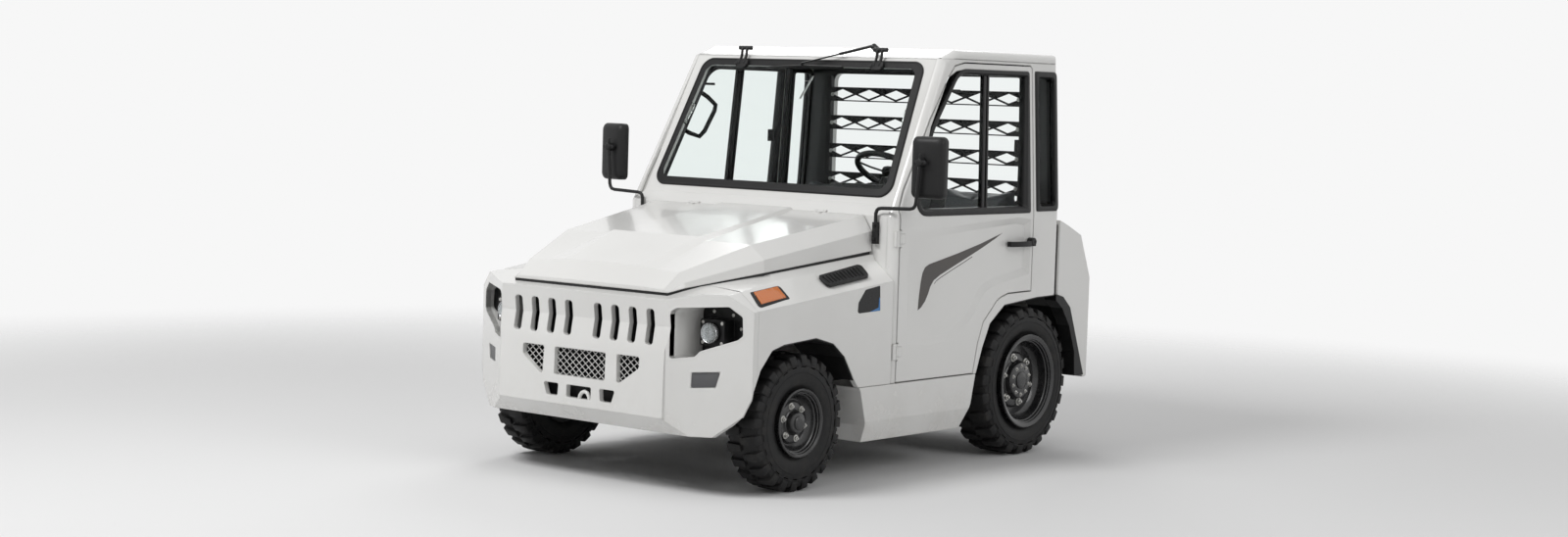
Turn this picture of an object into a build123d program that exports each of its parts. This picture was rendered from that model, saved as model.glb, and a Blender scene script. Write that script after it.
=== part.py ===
from build123d import *
import math
import os

# Airport tow tractor with a two-seat cab, front-steered, with a beam axle at each end.
# Millimetres. +Z is up, -Y is forward and +X is the vehicle's left, the driver's side.
# The origin is on the ground, midway along the overall length, on the centre line.

# Driving dimensions
WHEELBASE = 1700.0
FRONT_OVERHANG = 515.0      # front axle to the face of the grille panel
REAR_OVERHANG = 527.0       # rear axle to the back of the rear body
HITCH_REACH = 98.0          # rear body to the back of the towing jaw
HALF_WIDTH = 800.0          # centre line to the body side
BELT_Z = 1157.0             # height at which the cab side starts to lean in
ROOF_Z = 1906.0
CAB_LEAN = 43.0             # how far the cab side leans in between belt and roof
SILL_Z = 421.0              # underside of the cab and the doors

FRONT_TYRE_R = 295.0
FRONT_TYRE_W = 176.0
FRONT_TYRE_X = 691.0        # middle plane of the tyre
FRONT_RIM_R = 140.0
FRONT_LIP_R = 147.5
FRONT_LIP_X = 787.0         # outer face of the rim's lip
REAR_TYRE_R = 353.0
REAR_TYRE_W = 212.0
REAR_TYRE_X = 682.0
REAR_RIM_R = 208.0
REAR_LIP_R = 223.0
REAR_LIP_X = 800.0

KINGPIN_X = 600.0
KINGPIN_R = 16.0
SPINDLE_R = 25.0
STEERING_WHEEL_R = 180.0

# Clearances and wall thicknesses
RUNNING_CLEARANCE = 0.05    # radial, shaft in bore
SEAT_CLEARANCE = 0.3        # between curved faces that seat on each other
PANEL_GAP = 6.0             # round the doors and the hood
SIDE_T = 45.0               # doors and cab sides
PANEL_T = 25.0              # moulded panels with their returned edges
SHEET_T = 6.0               # liners and covers
GLASS_T = 6.0

OVERALL_LENGTH = FRONT_OVERHANG + WHEELBASE + REAR_OVERHANG + HITCH_REACH
FRONT_AXLE_Y = FRONT_OVERHANG - OVERALL_LENGTH / 2
REAR_AXLE_Y = FRONT_AXLE_Y + WHEELBASE

os.makedirs("parts", exist_ok=True)


def fy(distance):
    """Y of a station given behind the front axle."""
    return FRONT_AXLE_Y + distance


def ry(distance):
    """Y of a station given behind the rear axle."""
    return REAR_AXLE_Y + distance


def front(points):
    """Side-view points (distance behind the front axle, z) in the frame."""
    return [(fy(d), z) for d, z in points]


def rear(points):
    """Side-view points (distance behind the rear axle, z) in the frame."""
    return [(ry(d), z) for d, z in points]


def side_prism(points, x0, x1):
    """A side-view outline (y, z) carried from x0 to x1."""
    face = Plane.YZ.offset(x0) * Polygon(*points, align=None)
    return extrude(face, amount=x1 - x0, dir=(1, 0, 0))


def cross_prism(points, y0, y1):
    """A front-view outline (x, z) carried from y0 to y1."""
    face = Plane.XZ.offset(-y0) * Polygon(*points, align=None)
    return extrude(face, amount=y1 - y0, dir=(0, 1, 0))


def plan_prism(points, z0, z1):
    """A plan outline (x, y) carried from z0 to z1."""
    face = Plane.XY.offset(z0) * Polygon(*points, align=None)
    return extrude(face, amount=z1 - z0, dir=(0, 0, 1))


def block(x0, x1, y0, y1, z0, z1):
    return Pos((x0 + x1) / 2, (y0 + y1) / 2, (z0 + z1) / 2) * Box(x1 - x0, y1 - y0, z1 - z0)


def both_sides(points):
    """Half of a front-view outline (x, z), starting low, closed with its mirror image."""
    return list(points) + [(-x, z) for x, z in reversed(points)]


def grown(points, amount):
    """An outline moved outwards by amount, or inwards when amount is negative."""
    return offset(Polygon(*points, align=None), amount=amount, kind=Kind.INTERSECTION)


def rod(radius, start, end):
    """A round bar from start to end."""
    line = Vector(*end) - Vector(*start)
    plane = Plane(origin=start, z_dir=line)
    return extrude(plane * Circle(radius), amount=line.length)


def turned(profile, y, z):
    """A profile of (x, radius) points turned about the X axis through (y, z)."""
    plane = Plane(origin=(0, y, z), x_dir=(1, 0, 0), z_dir=(0, -1, 0))
    face = plane * Polygon(*profile, align=None)
    return revolve(face, axis=Axis((0, y, z), (1, 0, 0)), revolution_arc=360)


def mirrored(shape):
    return mirror(shape, about=Plane.YZ)


def save(name, shape):
    export_step(shape, f"parts/{name}.step")


def save_pair(name, left):
    save(f"{name}_left", left)
    save(f"{name}_right", mirrored(left))


# Cab outlines shared by the sides, the doors, the front, the rear wall and the roof
CAB_FRONT = 600.0           # behind the front axle
CAB_REAR = 225.0            # behind the rear axle
SHOULDER_Z = 1165.0
SCREEN_FOOT = (706.0, 1200.0)
SCREEN_HEAD = (1011.0, 1850.0)
ROOF_SEAM_Z = 1861.0
ROOF_FRONT = 1138.0
FULL_WIDTH = HALF_WIDTH + 100.0

cab_outline = front([
    (CAB_FRONT, SILL_Z), (CAB_FRONT, SHOULDER_Z - 35), (CAB_FRONT + 8, SHOULDER_Z),
    SCREEN_HEAD, (SCREEN_HEAD[0] + 29, 1866), (ROOF_FRONT, ROOF_Z),
]) + rear([(CAB_REAR - 40, ROOF_Z), (CAB_REAR, ROOF_Z - 32), (CAB_REAR, SILL_Z)])


def cab_section(inset):
    """The cab's cross section, moved in from the outer skin by inset."""
    low = HALF_WIDTH - inset
    return both_sides([(low, SILL_Z), (low, BELT_Z), (low - CAB_LEAN, ROOF_Z)])


cab_solid = side_prism(cab_outline, -FULL_WIDTH, FULL_WIDTH)
cab_outer = cab_solid & cross_prism(cab_section(0), fy(CAB_FRONT) - 1, ry(CAB_REAR) + 1)
cab_inner = cross_prism(cab_section(SIDE_T), fy(CAB_FRONT) - 1, ry(CAB_REAR) + 1)
below_roof = block(-FULL_WIDTH, FULL_WIDTH, fy(CAB_FRONT) - 1, ry(CAB_REAR) + 1, 0, ROOF_SEAM_Z)
left_half = block(0, FULL_WIDTH, fy(-2000), ry(2000), 0, 3000)
cab_side_slab = (cab_outer - cab_inner) & below_roof & left_half

# Wheel arches as side-view outlines
ARCH_FRONT = front([
    (-363, 0), (-363, 345), (-336, 456), (-296, 542), (-224, 619), (-148, 639),
    (67, 655), (189, 623), (267, 563), (342, 451), (387, 401), (430, 247), (430, 0),
])
ARCH_REAR = rear([
    (-533, 0), (-533, 173), (-477, 282), (-446, 412), (-398, 537), (-341, 648), (-226, 729),
    (46, 753), (215, 757), (270, 744), (334, 690), (474, 352), (474, 0),
])
ARCH_IN_X = 560.0

# Door outline: forward edge, sloping pillar, head, rear edge and the cut round the rear arch
DOOR_FRONT = 638.0
DOOR_REAR = -8.0
DOOR_HEAD_Z = 1846.0
door_outline = front([
    (DOOR_FRONT, SILL_Z + 4), (DOOR_FRONT, 1180), (DOOR_FRONT + 10, 1215),
    (1032, 1812), (1060, 1838), (1090, DOOR_HEAD_Z),
]) + rear([
    (DOOR_REAR - 6, DOOR_HEAD_Z), (DOOR_REAR, DOOR_HEAD_Z - 8), (DOOR_REAR, 790), (-230, 778),
    (-292, 760), (-398, 660), (-440, 560), (-471, SILL_Z + 4),
])
window_outline = front([
    (DOOR_FRONT + 122, 1160), (DOOR_FRONT + 113, 1188), (DOOR_FRONT + 122, 1235),
    (1056, 1790), (1080, 1806),
]) + rear([(DOOR_REAR - 50, 1806), (DOOR_REAR - 38, 1794), (DOOR_REAR - 38, 1160)])
quarter_outline = rear([(25, 1180), (25, 1806), (180, 1806), (180, 1180)])

door_reach = (HALF_WIDTH - 150, HALF_WIDTH + 50)
door_prism = side_prism(door_outline, *door_reach)
door_hole = extrude(
    Plane.YZ.offset(door_reach[0]) * grown(door_outline, PANEL_GAP), amount=200, dir=(1, 0, 0)
)
window_prism = side_prism(window_outline, *door_reach)
quarter_prism = side_prism(quarter_outline, *door_reach)
rear_arch_left = side_prism(ARCH_REAR, ARCH_IN_X, FULL_WIDTH)
front_arch_left = side_prism(ARCH_FRONT, ARCH_IN_X, FULL_WIDTH)

# Door hinges: two barrels on the front edge, each on a pin between two fixed ears
HINGE_X = HALF_WIDTH
HINGE_Y = fy(DOOR_FRONT)
HINGE_BARREL_R = 8.0
HINGE_PIN_R = 4.0
HINGE_BARREL_L = 44.0
HINGE_EAR_L = 14.0
HINGE_HEIGHTS = (560.0, 1060.0)


def hinge_parts(z):
    """Fixed ears with their pin, and the moving barrel, of one door hinge."""
    half = HINGE_BARREL_L / 2
    end = half + 0.3 + HINGE_EAR_L
    low = rod(HINGE_BARREL_R, (HINGE_X, HINGE_Y, z - end), (HINGE_X, HINGE_Y, z - half - 0.3))
    high = rod(HINGE_BARREL_R, (HINGE_X, HINGE_Y, z + half + 0.3), (HINGE_X, HINGE_Y, z + end))
    pin = rod(HINGE_PIN_R, (HINGE_X, HINGE_Y, z - end), (HINGE_X, HINGE_Y, z + end))
    strap = block(HINGE_X - 6, HINGE_X + 5, HINGE_Y - 30, HINGE_Y, z - end, z + end)
    strap -= block(HINGE_X - 10, HINGE_X + 10, HINGE_Y - 10, HINGE_Y + 1, z - half - 0.3, z + half + 0.3)
    fixed = low + high + pin + strap
    barrel = rod(HINGE_BARREL_R, (HINGE_X, HINGE_Y, z - half), (HINGE_X, HINGE_Y, z + half))
    barrel += block(HINGE_X - 6, HINGE_X + 5, HINGE_Y, HINGE_Y + 34, z - half, z + half)
    return fixed, barrel


hinge_clear = Part()
fixed_hinges = Part()
moving_hinges = Part()
hinge_bores = Part()
for hinge_z in HINGE_HEIGHTS:
    fixed, barrel = hinge_parts(hinge_z)
    end = HINGE_BARREL_L / 2 + HINGE_EAR_L + 2
    fixed_hinges += fixed
    moving_hinges += barrel
    bore_r = HINGE_PIN_R + RUNNING_CLEARANCE
    hinge_bores += rod(bore_r, (HINGE_X, HINGE_Y, hinge_z - end), (HINGE_X, HINGE_Y, hinge_z + end))
    hinge_clear += rod(HINGE_BARREL_R + 1, (HINGE_X, HINGE_Y, hinge_z - end), (HINGE_X, HINGE_Y, hinge_z + end))

# Cab side: pillars, sill strip and arch strip round the door opening
cab_side = cab_side_slab - door_hole - quarter_prism - rear_arch_left - hinge_clear
cab_side = cab_side + fixed_hinges
save_pair("cab_side", cab_side)

# Doors
door_skin = (cab_side_slab & door_prism) - window_prism - hinge_clear
door_skin -= block(HINGE_X - 20, HINGE_X + 20, HINGE_Y - 1, HINGE_Y + 12, HINGE_HEIGHTS[0] - 40, HINGE_HEIGHTS[0] + 40)
door_skin -= block(HINGE_X - 20, HINGE_X + 20, HINGE_Y - 1, HINGE_Y + 12, HINGE_HEIGHTS[1] - 40, HINGE_HEIGHTS[1] + 40)
handle = block(HALF_WIDTH, HALF_WIDTH + 26, ry(DOOR_REAR) - 62, ry(DOOR_REAR) - 30, 1000, 1024)
handle += block(HALF_WIDTH + 14, HALF_WIDTH + 30, ry(DOOR_REAR) - 190, ry(DOOR_REAR) - 30, 1002, 1022)
handle += block(HALF_WIDTH, HALF_WIDTH + 26, ry(DOOR_REAR) - 190, ry(DOOR_REAR) - 170, 1000, 1024)
door = door_skin + (moving_hinges - hinge_bores)
save_pair("door", door)
save_pair("door_handle", handle)

glass_sheet = cross_prism(cab_section(18), fy(CAB_FRONT), ry(CAB_REAR))
glass_sheet -= cross_prism(cab_section(18 + GLASS_T), fy(CAB_FRONT) - 1, ry(CAB_REAR) + 1)
save_pair("door_glass", glass_sheet & window_prism & left_half)
quarter_glass = glass_sheet & quarter_prism & left_half
save("quarter_glasses", quarter_glass + mirrored(quarter_glass))

# Cab front: the wall behind the engine bay, the cowl and the frame round the windscreen
FRONT_WALL_T = 40.0
front_wall = side_prism(front([
    (CAB_FRONT, SILL_Z), (CAB_FRONT, 1150), (CAB_FRONT + 14, 1170), SCREEN_FOOT,
    SCREEN_HEAD, (SCREEN_HEAD[0] + 8, ROOF_SEAM_Z),
    (SCREEN_HEAD[0] + 8 + FRONT_WALL_T, ROOF_SEAM_Z), (SCREEN_FOOT[0] + 32, 1172),
    (CAB_FRONT + FRONT_WALL_T, 1130), (CAB_FRONT + FRONT_WALL_T, SILL_Z),
]), -FULL_WIDTH, FULL_WIDTH)
screen_run = (SCREEN_HEAD[0] - SCREEN_FOOT[0]) / (SCREEN_HEAD[1] - SCREEN_FOOT[1])
screen_tilt = math.degrees(math.atan(screen_run))
screen_plane = Plane(
    origin=(0, fy(SCREEN_FOOT[0]), SCREEN_FOOT[1]), x_dir=(1, 0, 0),
    z_dir=(0, -math.cos(math.radians(screen_tilt)), math.sin(math.radians(screen_tilt))),
)
SCREEN_LOW = 41.0           # up the slope from the screen's foot to the glass
SCREEN_HIGH = 708.0
SCREEN_HALF_LOW = 685.0
SCREEN_HALF_HIGH = 635.0
SCREEN_BORDER = 26.0        # glass lapping over the frame


def screen_face(shrink):
    """The windscreen's outline on its own plane, drawn in by shrink."""
    return screen_plane * Polygon(
        (SCREEN_HALF_LOW - shrink, SCREEN_LOW + shrink), (SCREEN_HALF_HIGH - shrink, SCREEN_HIGH - shrink),
        (shrink - SCREEN_HALF_HIGH, SCREEN_HIGH - shrink), (shrink - SCREEN_HALF_LOW, SCREEN_LOW + shrink),
        align=None,
    )


screen_hole = extrude(screen_face(SCREEN_BORDER), amount=200, both=True)
save("cab_front", (front_wall & cab_inner) - screen_hole)
save("windscreen", extrude(screen_face(0), amount=GLASS_T))

# Rear wall with the window opening, and the slatted guard inside it
REAR_WALL_T = 40.0
REAR_WINDOW = (-560.0, 560.0, 1190.0, 1795.0)
REAR_WALL_LOW = 760.0
rear_wall = block(-FULL_WIDTH, FULL_WIDTH, ry(CAB_REAR - REAR_WALL_T), ry(CAB_REAR), REAR_WALL_LOW, ROOF_SEAM_Z)
rear_wall -= block(REAR_WINDOW[0], REAR_WINDOW[1], ry(100), ry(300), REAR_WINDOW[2], REAR_WINDOW[3])
save("cab_rear_wall", rear_wall & cab_inner)

GUARD_Y = CAB_REAR - REAR_WALL_T - 14
SLAT_Z = (1258.0, 1407.0, 1548.0, 1690.0)
SLAT_H = 70.0
guard = Part()
for post_x in (-572.0, 572.0):
    guard += block(post_x - 14, post_x + 14, ry(GUARD_Y - 6), ry(GUARD_Y + 14), REAR_WINDOW[2] + 10, REAR_WINDOW[3] - 10)
for slat_z in SLAT_Z:
    guard += block(-572, 572, ry(GUARD_Y - 3), ry(GUARD_Y + 3), slat_z - SLAT_H / 2, slat_z + SLAT_H / 2)
save("rear_guard", guard)

# Roof
roof = cab_outer & block(-FULL_WIDTH, FULL_WIDTH, fy(CAB_FRONT), ry(CAB_REAR) + 1, ROOF_SEAM_Z, ROOF_Z + 10)
save("roof", roof)

# Cab floor: footwell, riser and the platform under the seats
PLATFORM_Z = 770.0
FLOOR_Z = SILL_Z + 20
floor = side_prism(
    front([(CAB_FRONT + FRONT_WALL_T, SILL_Z), (CAB_FRONT + FRONT_WALL_T, FLOOR_Z)])
    + rear([
        (-500, FLOOR_Z), (-440, PLATFORM_Z), (CAB_REAR - REAR_WALL_T, PLATFORM_Z),
        (CAB_REAR - REAR_WALL_T, PLATFORM_Z - 10), (-432, PLATFORM_Z - 10), (-492, SILL_Z),
    ]),
    -(HALF_WIDTH - SIDE_T), HALF_WIDTH - SIDE_T,
)
save("cab_floor", floor)

# Seats
SEAT_X = 430.0
SEAT_W = 430.0
pedestals = Part()
for seat_x in (-SEAT_X, SEAT_X):
    pedestals += block(seat_x - 170, seat_x + 170, ry(-370), ry(40), PLATFORM_Z, PLATFORM_Z + 50)
save("seat_pedestals", pedestals)
for seat_name, seat_x in (("left", SEAT_X), ("right", -SEAT_X)):
    cushion = block(seat_x - SEAT_W / 2, seat_x + SEAT_W / 2, ry(-400), ry(50), PLATFORM_Z + 50, PLATFORM_Z + 160)
    cushion = fillet(cushion.edges().filter_by(Axis.Z), 50)
    save(f"seat_cushion_{seat_name}", cushion)
    back = side_prism(rear([
        (56, PLATFORM_Z + 100), (-30, PLATFORM_Z + 165), (34, 1240), (60, 1262), (110, 1255),
        (130, PLATFORM_Z + 100),
    ]), seat_x - SEAT_W / 2 + 10, seat_x + SEAT_W / 2 - 10)
    back -= block(seat_x - SEAT_W, seat_x + SEAT_W, ry(-60), ry(50.3), PLATFORM_Z, PLATFORM_Z + 160.3)
    save(f"seat_back_{seat_name}", back)

# Dashboard and steering column
dash = side_prism(front([
    (CAB_FRONT + FRONT_WALL_T, 1000), (CAB_FRONT + FRONT_WALL_T, 1125), (742, 1170), (790, 1240),
    (812, 1268), (905, 1262), (928, 1225), (880, 1120), (880, 1000),
]), -(HALF_WIDTH - SIDE_T - 4), HALF_WIDTH - SIDE_T - 4)
save("dashboard", dash)

STEER_X = 430.0
STEER_Y = fy(1050)
STEER_Z = 1335.0
STEER_RAKE = 32.0
column_dir = Vector(0, math.sin(math.radians(STEER_RAKE)), math.cos(math.radians(STEER_RAKE)))
wheel_hub = Vector(STEER_X, STEER_Y, STEER_Z)
COLUMN_R = 32.0
column_foot = wheel_hub - column_dir * 330
column_head = wheel_hub - column_dir * 40
column = rod(COLUMN_R, tuple(column_foot), tuple(column_head))
column += rod(9, tuple(column_head), tuple(wheel_hub + column_dir * 12))
save("steering_column", column - dash)

GRIP_R = 14.0
steer_plane = Plane(origin=tuple(wheel_hub), x_dir=(1, 0, 0), z_dir=tuple(column_dir))
grip_section = Pos(STEERING_WHEEL_R - GRIP_R, 0, 0) * Rot(90, 0, 0) * RegularPolygon(GRIP_R, 6)
steering_wheel = steer_plane * revolve(grip_section, Axis.Z)
steering_wheel += steer_plane * Pos(0, 0, -4) * Cylinder(46, 34)
for spoke_angle in (0, 120, 240):
    steering_wheel += steer_plane * Rot(0, 0, spoke_angle + 90) * Pos(92, 0, -4) * Box(150, 24, 10)
steering_wheel -= steer_plane * Cylinder(9 + RUNNING_CLEARANCE, 120)
save("steering_wheel", steering_wheel)

# Front body: one moulded form, parted behind the corner facets into grille panel and fenders
FACET_X = 458.0
FACET_D = -507.0
FENDER_D = -345.0
# distance behind front axle, inner edge x and z, knee x and z, crease z
BODY_SECTIONS = (
    (-530.0, 440.0, 808.0, 702.0, 835.0, 769.0),
    (FENDER_D, 476.0, 862.0, 702.0, 856.0, 783.0),
    (-49.0, 604.0, 912.0, 660.0, 893.0, 811.0),
    (CAB_FRONT, 654.0, 982.0, 690.0, 962.0, 876.0),
)


def body_volume(inset):
    """Front body as a closed form between its cross sections, drawn in by inset."""
    faces = []
    for d, inner_x, inner_z, knee_x, knee_z, crease_z in BODY_SECTIONS:
        outline = both_sides([
            (HALF_WIDTH - inset, 100), (HALF_WIDTH - inset, crease_z - inset * 0.8),
            (knee_x - inset * 0.2, knee_z - inset), (inner_x, inner_z - inset),
        ])
        faces.append(Plane.XZ.offset(-fy(d)) * Polygon(*outline, align=None))
    return loft(faces, ruled=True)


def nose_plan(inset):
    """Plan outline of the nose: a flat front with a diagonal facet at each corner."""
    slope = (FENDER_D - FACET_D) / (HALF_WIDTH - FACET_X)
    shift = inset * math.sqrt(1 + slope * slope)
    facet_start = FACET_X - (shift - inset) / slope
    side_d = FENDER_D + shift - slope * inset
    half = [(facet_start, fy(FACET_D - 30) + inset), (facet_start, fy(FACET_D) + inset)]
    half += [(HALF_WIDTH - inset, fy(side_d)), (HALF_WIDTH - inset, fy(CAB_FRONT) + 10)]
    return half + [(-x, y) for x, y in reversed(half)]


NOSE_PROFILE = (
    (-507.0, 900.0), (-507.0, 820.0), (-492.0, 704.0), (-510.0, 600.0), (-514.0, 450.0),
    (-FRONT_OVERHANG, 323.0), (-451.0, 253.0), (-451.0, 100.0),
)


def nose_side(inset, low):
    """Side outline of the nose, drawn in by inset, with its underside at low."""
    points = [(d + inset, z) for d, z in NOSE_PROFILE[:-2]]
    points += [(NOSE_PROFILE[-2][0] + inset, NOSE_PROFILE[-2][1]), (NOSE_PROFILE[-2][0] + inset, low)]
    return front(points + [(CAB_FRONT + 10, low), (CAB_FRONT + 10, 1100), (NOSE_PROFILE[0][0] + inset, 1100)])


def nose_solid(inset, low):
    form = body_volume(inset) & plan_prism(nose_plan(inset), 0, 1200)
    return form & side_prism(nose_side(inset, low), -FULL_WIDTH, FULL_WIDTH)


HOOD_FRONT = -467.0
PARTING_D = -316.0
chin_cut = cross_prism([(640, 200), (652, 252), (763, 345), (830, 390), (830, 200)], fy(-560), fy(PARTING_D))
front_shell = nose_solid(0, NOSE_PROFILE[-2][1]) - nose_solid(PANEL_T, 50)
hood_opening = plan_prism([
    (-405, fy(HOOD_FRONT + 14)), (405, fy(HOOD_FRONT + 14)), (450, fy(FENDER_D)), (580, fy(-49)),
    (632, fy(CAB_FRONT) + 20), (-632, fy(CAB_FRONT) + 20), (-580, fy(-49)), (-450, fy(FENDER_D)),
], 700, 1200)
front_shell -= hood_opening
front_shell -= side_prism(ARCH_FRONT, ARCH_IN_X, FULL_WIDTH)
front_shell -= side_prism(ARCH_FRONT, -FULL_WIDTH, -ARCH_IN_X)
front_shell -= block(-FULL_WIDTH, FULL_WIDTH, fy(300), fy(CAB_FRONT) + 40, 0, SILL_Z)
front_shell -= block(-FULL_WIDTH, FULL_WIDTH, fy(CAB_FRONT), fy(CAB_FRONT) + 40, 0, 1200)

# Headlamp opening in each facet, with a bucket behind it
LAMP_OPENING = (
    (474, 574), (474, 770), (497, 786), (702, 801), (755, 762), (758, 685), (739, 666), (593, 612),
    (574, 588),
)
BUCKET_D = -318.0
lamp_hole = cross_prism(LAMP_OPENING, fy(-560), fy(BUCKET_D) + 20)
bucket_outer = extrude(
    Plane.XZ.offset(-fy(BUCKET_D)) * grown(LAMP_OPENING, SHEET_T), amount=fy(BUCKET_D) - fy(-560),
    dir=(0, -1, 0),
)
bucket = (bucket_outer & nose_solid(1, 50)) - lamp_hole
fascia = (front_shell & block(-FULL_WIDTH, FULL_WIDTH, fy(-600), fy(PARTING_D), 0, 1200))
fascia = fascia - chin_cut - mirrored(chin_cut)
for side in (1, -1):
    hole = lamp_hole if side == 1 else mirrored(lamp_hole)
    ring = bucket if side == 1 else mirrored(bucket)
    fascia = fascia - hole + ring

# Grille slots, mesh windows and low slots
SLOT_X = (86.0, 187.0, 288.0, 390.0)
for slot_x in SLOT_X:
    for side in (1, -1):
        slot = cross_prism([
            (slot_x - 23, 640), (slot_x - 23, 755), (slot_x - 5, 773), (slot_x + 5, 773),
            (slot_x + 23, 755), (slot_x + 23, 640), (slot_x + 5, 622), (slot_x - 5, 622),
        ], fy(-560), fy(-440))
        fascia -= slot if side == 1 else mirrored(slot)
fascia -= block(-150, 150, fy(-560), fy(-440), 448, 567)
side_mesh = cross_prism([(221, 449), (237, 449), (344, 520), (344, 566), (215, 566)], fy(-560), fy(-440))
fascia = fascia - side_mesh - mirrored(side_mesh)
fascia -= block(-72, 72, fy(-560), fy(-440), 357, 411)
low_slot = cross_prism([(126, 357), (192, 357), (212, 411), (122, 411)], fy(-560), fy(-440))
fascia = fascia - low_slot - mirrored(low_slot)
save("front_fascia", fascia)

fender = front_shell & block(ARCH_IN_X - 150, FULL_WIDTH, fy(PARTING_D), fy(CAB_FRONT), 0, 1200)
save_pair("fender", fender)

lamp_plate = extrude(
    Plane.XZ.offset(-fy(BUCKET_D + 8)) * grown(LAMP_OPENING, SHEET_T), amount=8, dir=(0, -1, 0)
)
lamp = block(495, 615, fy(BUCKET_D - 55), fy(BUCKET_D), 630, 742)
lamp += Pos(555, fy(BUCKET_D - 60), 686) * Rot(90, 0, 0) * Cylinder(38, 24)
headlamp = lamp_plate + lamp
save("headlamps", headlamp + mirrored(headlamp))

# Hood: a hollow lid with chamfered flanks, hinged at its rear edge
# distance behind front axle, low x and z, shoulder x and z, top x and z
HOOD_SECTIONS = (
    (HOOD_FRONT, 427.0, 842.0, 424.0, 848.0, 405.0, 856.0),
    (-386.0, 452.0, 860.0, 446.0, 880.0, 415.0, 926.0),
    (-49.0, 600.0, 922.0, 596.0, 975.0, 520.0, 1036.0),
    (CAB_FRONT - PANEL_GAP, 650.0, 994.0, 648.0, 1081.0, 600.0, 1152.0),
)


def hood_volume(inset, low):
    faces = []
    for d, low_x, low_z, shoulder_x, shoulder_z, top_x, top_z in HOOD_SECTIONS:
        outline = both_sides([
            (low_x - inset, low_z - low), (shoulder_x - inset, max(shoulder_z - inset, low_z - low + 1)),
            (top_x - inset * 0.6, max(top_z - inset, low_z - low + 2)),
        ])
        faces.append(Plane.XZ.offset(-fy(d)) * Polygon(*outline, align=None))
    return loft(faces, ruled=True)


hood_t = 18.0
hood = hood_volume(0, 0) - hood_volume(hood_t, 40)
hood_end = block(-600, 600, fy(CAB_FRONT - PANEL_GAP - hood_t), fy(CAB_FRONT - PANEL_GAP), 1040, 1134)
hood = hood + (hood_end & hood_volume(1, 0))
HOOD_AXIS_D = CAB_FRONT - 2
HOOD_AXIS_Z = 1160.0
HOOD_BARREL_R = 7.0
HOOD_PIN_R = 3.5
HOOD_HINGE_X = (-380.0, 380.0)
hood_fixed = Part()
for hinge_x in HOOD_HINGE_X:
    axis_y = fy(HOOD_AXIS_D)
    barrel = rod(HOOD_BARREL_R, (hinge_x - 20, axis_y, HOOD_AXIS_Z), (hinge_x + 20, axis_y, HOOD_AXIS_Z))
    barrel += block(hinge_x - 20, hinge_x + 20, axis_y - 30, axis_y, HOOD_AXIS_Z - 10, HOOD_AXIS_Z - 2)
    barrel -= rod(HOOD_PIN_R + RUNNING_CLEARANCE, (hinge_x - 40, axis_y, HOOD_AXIS_Z), (hinge_x + 40, axis_y, HOOD_AXIS_Z))
    hood += barrel
    pin = rod(HOOD_PIN_R, (hinge_x - 32, axis_y, HOOD_AXIS_Z), (hinge_x + 32, axis_y, HOOD_AXIS_Z))
    for ear_x in (hinge_x - 26.3, hinge_x + 26.3):
        pin += rod(HOOD_BARREL_R, (ear_x - 6, axis_y, HOOD_AXIS_Z), (ear_x + 6, axis_y, HOOD_AXIS_Z))
        pin += block(ear_x - 6, ear_x + 6, axis_y, fy(CAB_FRONT) + 14, HOOD_AXIS_Z - 4, HOOD_AXIS_Z + 7)
    hood_fixed += pin
save("hood", hood)
save("hood_hinges", hood_fixed - front_wall)

# Side steps below the doors
step_outline = front([(376, SILL_Z - 2), (387, 401), (430, 247), (427, 174)]) + rear([
    (-533, 173), (-477, 282), (-446, 412), (-446, SILL_Z - 2),
])
step_section = [(560, 160), (560, SILL_Z), (HALF_WIDTH, SILL_Z), (HALF_WIDTH, 265), (HALF_WIDTH - 28, 160)]
step_inner = [(540, 150), (540, SILL_Z - 10), (HALF_WIDTH - 10, SILL_Z - 10), (HALF_WIDTH - 10, 266), (HALF_WIDTH - 38, 150)]
step_solid = side_prism(step_outline, 540, FULL_WIDTH) & cross_prism(step_section, fy(0), ry(0))
step_solid -= cross_prism(step_inner, fy(436), ry(-545))
for bracket_y in (fy(700), ry(-570)):
    step_solid += block(560, 700, bracket_y, bracket_y + 60, SILL_Z - 12, SILL_Z)
save_pair("side_step", step_solid)

# Rear body behind the cab
rear_outline = rear([
    (CAB_REAR, 300), (CAB_REAR, 1115), (300, 1088), (415, 1039), (522, 795), (REAR_OVERHANG, 560),
    (508, 548), (508, 524), (REAR_OVERHANG, 508), (REAR_OVERHANG, 358), (492, 341), (480, 300),
])
rear_shell = side_prism(rear_outline, -HALF_WIDTH, HALF_WIDTH)
rear_shell = chamfer(rear_shell.edges().filter_by(Axis.Z).filter_by(lambda e: e.center().Y > ry(REAR_OVERHANG) - 1), 20)
rear_inner = rear([
    (CAB_REAR - 20, 200), (CAB_REAR - 20, 1100), (298, 1075), (405, 1028), (509, 790), (492, 540),
    (492, 530), (512, 500), (512, 380), (478, 340), (470, 200),
])
rear_shell -= side_prism(rear_inner, 12 - HALF_WIDTH, HALF_WIDTH - 12)
rear_shell -= side_prism(ARCH_REAR, ARCH_IN_X, FULL_WIDTH)
rear_shell -= side_prism(ARCH_REAR, -FULL_WIDTH, -ARCH_IN_X)
rear_shell -= block(-FULL_WIDTH, FULL_WIDTH, ry(0), ry(600), 0, 341)
save("rear_body", rear_shell)

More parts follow.
